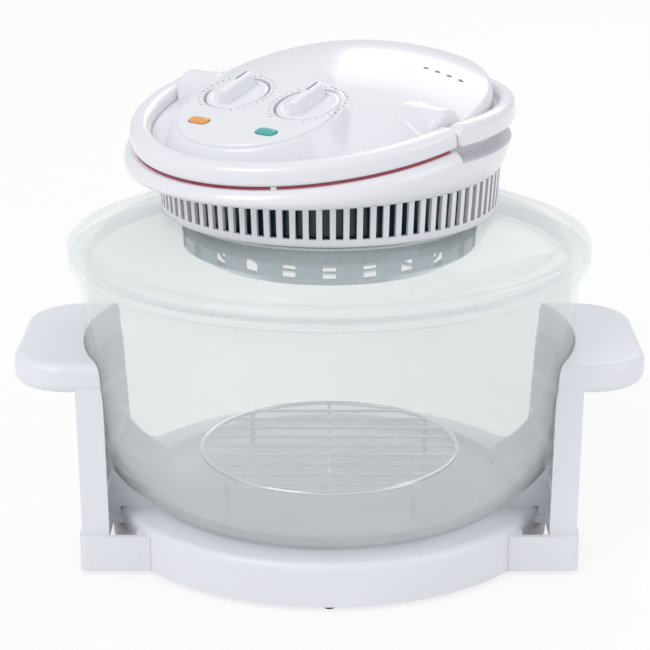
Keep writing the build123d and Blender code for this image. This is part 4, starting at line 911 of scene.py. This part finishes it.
@dataclass
class VentShadeSheet:
    """Dark sheet behind the housing's slots: painted shade of the head's interior, seen through the
    slots.
    """

    outer_r: float = 101.8
    wall: float = 0.8
    low: float = 222.0
    high: float = 247.5
    around: int = 120

    def build(self) -> None:
        """Makes the painted-shade sheet: a thin tube about the head's axis."""
        inner_r = self.outer_r - self.wall
        outline = np.array([[self.outer_r, self.low], [self.outer_r, self.high],
                            [inner_r, self.high], [inner_r, self.low]])
        shade_sheet = piece("vent_shade_sheet", [Patch(spun(outline, self.around), True, True)])
        settled(shade_sheet, "lid_head", VENT_PAINTED_SHADE)


# ---- controls ----------------------------------------------------------------------------
def stadium(length: float, width: float, steps: int) -> np.ndarray:
    """Unit directions and straight offsets of a stadium outline lying along Y.

    Args:
        length, width: its overall size.
        steps: points of each round end.

    Returns:
        Array of rows: centre x, centre y, direction x, direction y. A point at radius r is the
        centre plus r times the direction.
    """
    reach = (length - width) / 2
    ends = [arc_points((0, 0), 1.0, 0, 180, steps), arc_points((0, 0), 1.0, 180, 360, steps)]
    centre = np.repeat([[0, reach], [0, -reach]], steps, axis=0)
    return np.concatenate([centre, np.concatenate(ends)], 1)


def stadium_rows(length: float, width: float, rows: np.ndarray, steps: int = 18) -> np.ndarray:
    """Stack of stadium outlines, drawn in by an inset at each height.

    Args:
        length, width: overall size at no inset.
        rows: inset and height of each row.
        steps: points of each round end.

    Returns:
        Grid of points, one row for each height.
    """
    outline = stadium(length, width, steps)
    radius = np.maximum(width / 2 - rows[:, :1], 0.0)
    flat = outline[None, :, :2] + radius[..., None] * outline[None, :, 2:]
    height = np.broadcast_to(rows[:, 1:, None], flat.shape[:2] + (1,))
    return np.concatenate([flat, height], -1)


@dataclass
class Dial:
    """Turning knob: dished disc with a rounded edge and a crowned grip bar with a pointer line."""

    name: str
    node: str
    x: float
    y: float = 14.5
    disc_r: float = 19.5
    low: float = -3.2
    disc_height: float = 3.4
    grip_length: float = 31.0
    grip_width: float = 9.5
    grip_height: float = 9.6
    grip_sink: float = 1.2
    grip_lean: float = 0.9
    grip_round: float = 2.0
    around: int = 96

    def disc(self) -> np.ndarray:
        """The dished disc, turned about its own axis."""
        top = self.low + self.disc_height
        edge = rounded_outline([(self.disc_r, self.low, 0.3), (self.disc_r, top, 1.6),
                                (self.disc_r - 3.0, top, 1.0), (self.disc_r - 4.2, top - 0.9, 0.8),
                                (0.02, top - 0.9, 0.005), (0.02, self.low, 0.005)], 6)
        return spun(edge, self.around)

    def grip(self) -> np.ndarray:
        """The grip bar: stadium outlines that lean in with height, round over and close on a ridge."""
        top = self.low + self.disc_height - self.grip_sink
        shoulder = self.grip_height - self.grip_round - 0.2
        lean = np.linspace(0, 1, 8)[:, None] * np.array([[self.grip_lean, shoulder]])
        turn = np.radians(np.linspace(0, 90, 9))[1:, None]
        over = np.concatenate([self.grip_lean + self.grip_round * (1 - np.cos(turn)),
                               shoulder + self.grip_round * np.sin(turn)], 1)
        share = np.linspace(0, 1, 6)[1:, None]
        inset = self.grip_lean + self.grip_round
        ridge = np.concatenate([inset + share * (self.grip_width / 2 - inset),
                                self.grip_height - 0.2 + 0.35 * (1 - (1 - share) ** 2)], 1)
        rows = np.concatenate([lean, over, ridge])
        rows[:, 1] += top
        return stadium_rows(self.grip_length, self.grip_width, rows)

    def build(self) -> None:
        """Makes the knob and its pointer line."""
        place = PANEL @ moved(self.x, self.y, 0)
        knob = piece(self.name, [Patch(self.disc(), True, True), Patch(self.grip(), False, True)], place)
        settled(knob, self.node, DIAL_WHITE, self.node)
        top = self.low + self.disc_height - self.grip_sink + self.grip_height
        line = stadium_rows(11.0, 1.1, np.array([[0.0, -0.3], [0.0, 0.28], [0.15, 0.4], [0.55, 0.42]]), 8)
        mark = piece(self.name + "_pointer", [Patch(line, False, True)],
                     place @ moved(0, self.grip_length / 2 - 8.5, top))
        settled(mark, self.node, INK_GREY)


@dataclass
class DialScale:
    """Printed scale round one knob: fine ticks on an arc, a longer one at each fifth step."""

    name: str
    x: float
    y: float = 14.5
    radius: float = 22.9
    length: float = 1.5
    long_length: float = 2.3
    width: float = 0.45
    ticks: int = 31
    sweep: float = 300.0

    def build(self) -> None:
        """Makes the ticks as one thin piece lying on the panel: boxes placed round the arc."""
        step = np.arange(self.ticks)
        angle = np.radians(90 - self.sweep / 2 + self.sweep * step / (self.ticks - 1))
        reach = np.where(step % 5 == 0, self.long_length, self.length)
        outward = np.stack([np.cos(angle), np.sin(angle)], -1)
        across = np.stack([-np.sin(angle), np.cos(angle)], -1) * self.width / 2
        near, far = outward * self.radius, outward * (self.radius + reach[:, None])
        ring = np.stack([near - across, far - across, far + across, near + across], 1)
        low = np.concatenate([ring, np.full(ring.shape[:2] + (1,), -0.2)], -1)
        high = np.concatenate([ring, np.full(ring.shape[:2] + (1,), 0.06)], -1)
        middle = high.mean(1, keepdims=True) + 0 * high
        base = low.mean(1, keepdims=True) + 0 * low
        patches = [Patch(np.stack(rows), False, True) for rows in zip(base, low, high, middle)]
        marks = piece(self.name, patches, PANEL @ moved(self.x, self.y, 0), weld=0.001)
        settled(marks, "lid_head", INK_GREY)


@dataclass
class Lens:
    """Domed oval lens in the panel."""

    name: str
    node: str
    x: float
    finish: Finish
    y: float = -24.5
    length: float = 14.0
    width: float = 7.2
    depth: float = 7.0
    proud: float = 0.2
    edge_r: float = 0.9
    crown: float = 0.5

    def build(self) -> None:
        """Makes the lens: stadium outlines that round over into a low dome."""
        turn = np.radians(np.linspace(0, 90, 8))[:, None]
        over = np.concatenate([self.edge_r * (1 - np.cos(turn)),
                               self.proud + self.edge_r * np.sin(turn)], 1)
        share = np.linspace(0, 1, 6)[1:, None]
        inset = self.edge_r + share * (self.width / 2 - self.edge_r)
        dome = self.proud + self.edge_r + self.crown * (1 - (1 - share) ** 2)
        foot = [[self.width / 2, -self.depth], [0.0, -self.depth], [0.0, -1.0]]
        rows = np.concatenate([foot, over, np.concatenate([inset, dome], 1)])
        place = PANEL @ moved(self.x, self.y, 0) @ turned(2, 90)
        grid = stadium_rows(self.length, self.width, rows)
        settled(piece(self.name, [Patch(grid, False, True)], place), "lid_head", self.finish, self.node)


# ---- stage -------------------------------------------------------------------------------
@dataclass
class Studio:
    """Plain pale floor, soft lamps and the camera at the photograph's angle."""

    floor_half: float = 6.0
    look_down: float = 17.7127
    distance: float = 1400.0
    aim_z: float = 136.47
    focal_px: float = 2157.8
    picture_px: float = 650.0
    centre_px: float = 329.46
    sensor: float = 36.0
    ambient: float = 0.70
    floor_glow: float = 0.8
    lamps: tuple = (("key_lamp", (-1.5, -1.5, 2.2), 30.0, 1.6),
                    ("fill_lamp", (2.2, -0.9, 1.3), 10.0, 1.4),
                    ("back_lamp", (0.6, 2.0, 1.8), 12.0, 1.6))

    def floor(self) -> None:
        """Pale floor whose white is partly its own, so that it stays pale and keeps the shadow."""
        flat = np.linspace(-1, 1, 9) * self.floor_half / METRE
        x, y = np.meshgrid(flat, flat, indexing="ij")
        ground = piece("studio_floor", [Patch(np.stack([x, y, np.zeros_like(x)], -1))])
        if ground.data.polygons[0].normal.z <= 0:
            ground.data.flip_normals()
        material = bpy.data.materials.new("studio_floor")
        material.use_nodes = True
        tree = material.node_tree
        shader = next(n for n in tree.nodes if n.type == "BSDF_PRINCIPLED")
        shader.inputs["Base Color"].default_value = (0.9, 0.9, 0.9, 1)
        shader.inputs["Roughness"].default_value = 0.8
        glow = tree.nodes.new("ShaderNodeEmission")
        glow.inputs["Color"].default_value = (1, 1, 1, 1)
        share = math_node(tree, "MULTIPLY", self.seen_rays(tree), self.floor_glow)
        choice = tree.nodes.new("ShaderNodeMixShader")
        tree.links.new(share, choice.inputs["Fac"])
        tree.links.new(shader.outputs[0], choice.inputs[1])
        tree.links.new(glow.outputs[0], choice.inputs[2])
        tree.links.new(choice.outputs[0], tree.nodes["Material Output"].inputs["Surface"])
        ground.data.materials.append(material)

    def seen_rays(self, tree: bpy.types.NodeTree) -> bpy.types.NodeSocket:
        """Mask of the rays that see the backdrop: camera, glossy and transmission rays.

        Args:
            tree: the node tree.

        Returns:
            The mask's socket.
        """
        rays = tree.nodes.new("ShaderNodeLightPath")
        some = math_node(tree, "MAXIMUM", rays.outputs["Is Camera Ray"], rays.outputs["Is Glossy Ray"])
        return math_node(tree, "MAXIMUM", some, rays.outputs["Is Transmission Ray"])

    def world(self) -> None:
        """White surroundings for the camera, also through glass, and a dimmer even light."""
        world = bpy.data.worlds.new("studio_world")
        bpy.context.scene.world = world
        world.use_nodes = True
        tree = world.node_tree
        tree.nodes.clear()
        soft = tree.nodes.new("ShaderNodeBackground")
        soft.inputs["Color"].default_value = (0.94, 0.96, 1.0, 1)
        soft.inputs["Strength"].default_value = self.ambient
        white = tree.nodes.new("ShaderNodeBackground")
        white.inputs["Color"].default_value = (1, 1, 1, 1)
        choice = tree.nodes.new("ShaderNodeMixShader")
        out = tree.nodes.new("ShaderNodeOutputWorld")
        rays = tree.nodes.new("ShaderNodeLightPath").outputs
        seen = math_node(tree, "MAXIMUM", rays["Is Camera Ray"], rays["Is Transmission Ray"])
        tree.links.new(seen, choice.inputs["Fac"])
        tree.links.new(soft.outputs[0], choice.inputs[1])
        tree.links.new(white.outputs[0], choice.inputs[2])
        tree.links.new(choice.outputs[0], out.inputs["Surface"])

    def lamp(self, name: str, spot: tuple[float, float, float], power: float, size: float) -> None:
        """Square soft lamp aimed at the object's middle.

        Args:
            name: the lamp's name.
            spot: where it hangs, in metres.
            power: its power in watts.
            size: its side in metres.
        """
        data = bpy.data.lights.new(name, "AREA")
        data.energy = power
        data.size = size
        thing = bpy.data.objects.new(name, data)
        away = np.array(spot) - (0, 0, self.aim_z * METRE)
        flat = math.hypot(away[0], away[1])
        thing.location = spot
        thing.rotation_euler = (math.atan2(flat, away[2]), 0, math.atan2(away[0], -away[1]))
        bpy.context.scene.collection.objects.link(thing)

    def camera(self) -> None:
        """Camera at the photograph's angle, distance and framing."""
        data = bpy.data.cameras.new("photo_camera")
        data.sensor_width = self.sensor
        data.lens = self.sensor * self.focal_px / self.picture_px
        data.shift_x = -(self.centre_px - self.picture_px / 2) / self.picture_px
        thing = bpy.data.objects.new("photo_camera", data)
        down = math.radians(self.look_down)
        thing.location = (0, -self.distance * math.cos(down) * METRE,
                          (self.aim_z + self.distance * math.sin(down)) * METRE)
        thing.rotation_euler = (math.pi / 2 - down, 0, 0)
        bpy.context.scene.collection.objects.link(thing)
        bpy.context.scene.camera = thing

    def build(self) -> None:
        """Sets the whole stage."""
        self.floor()
        self.world()
        for lamp in self.lamps:
            self.lamp(*lamp)
        self.camera()
        bpy.context.scene.view_settings.view_transform = "Standard"


def main() -> None:
    """Builds the classes in order, each around the CAD nodes that it stands for."""
    logging.basicConfig(level=logging.INFO, format="%(name)s: %(message)s")
    dress_frame()
    controls = [
        Dial("timer_dial", "timer_knob", -27.5), Dial("temperature_dial", "temperature_knob", 27.5),
        DialScale("timer_scale", -27.5), DialScale("temperature_scale", 27.5),
        Lens("orange_light", "orange_lens", -26.0, LENS_ORANGE),
        Lens("green_light", "green_lens", 26.0, LENS_GREEN)]
    for part in [VentShadeSheet(), Bowl(), Lid(), DomeCover(), RimRing(), *controls, Studio()]:
        LOG.info("building %s", type(part).__name__)
        part.build()


if __name__ == "__main__":
    main()
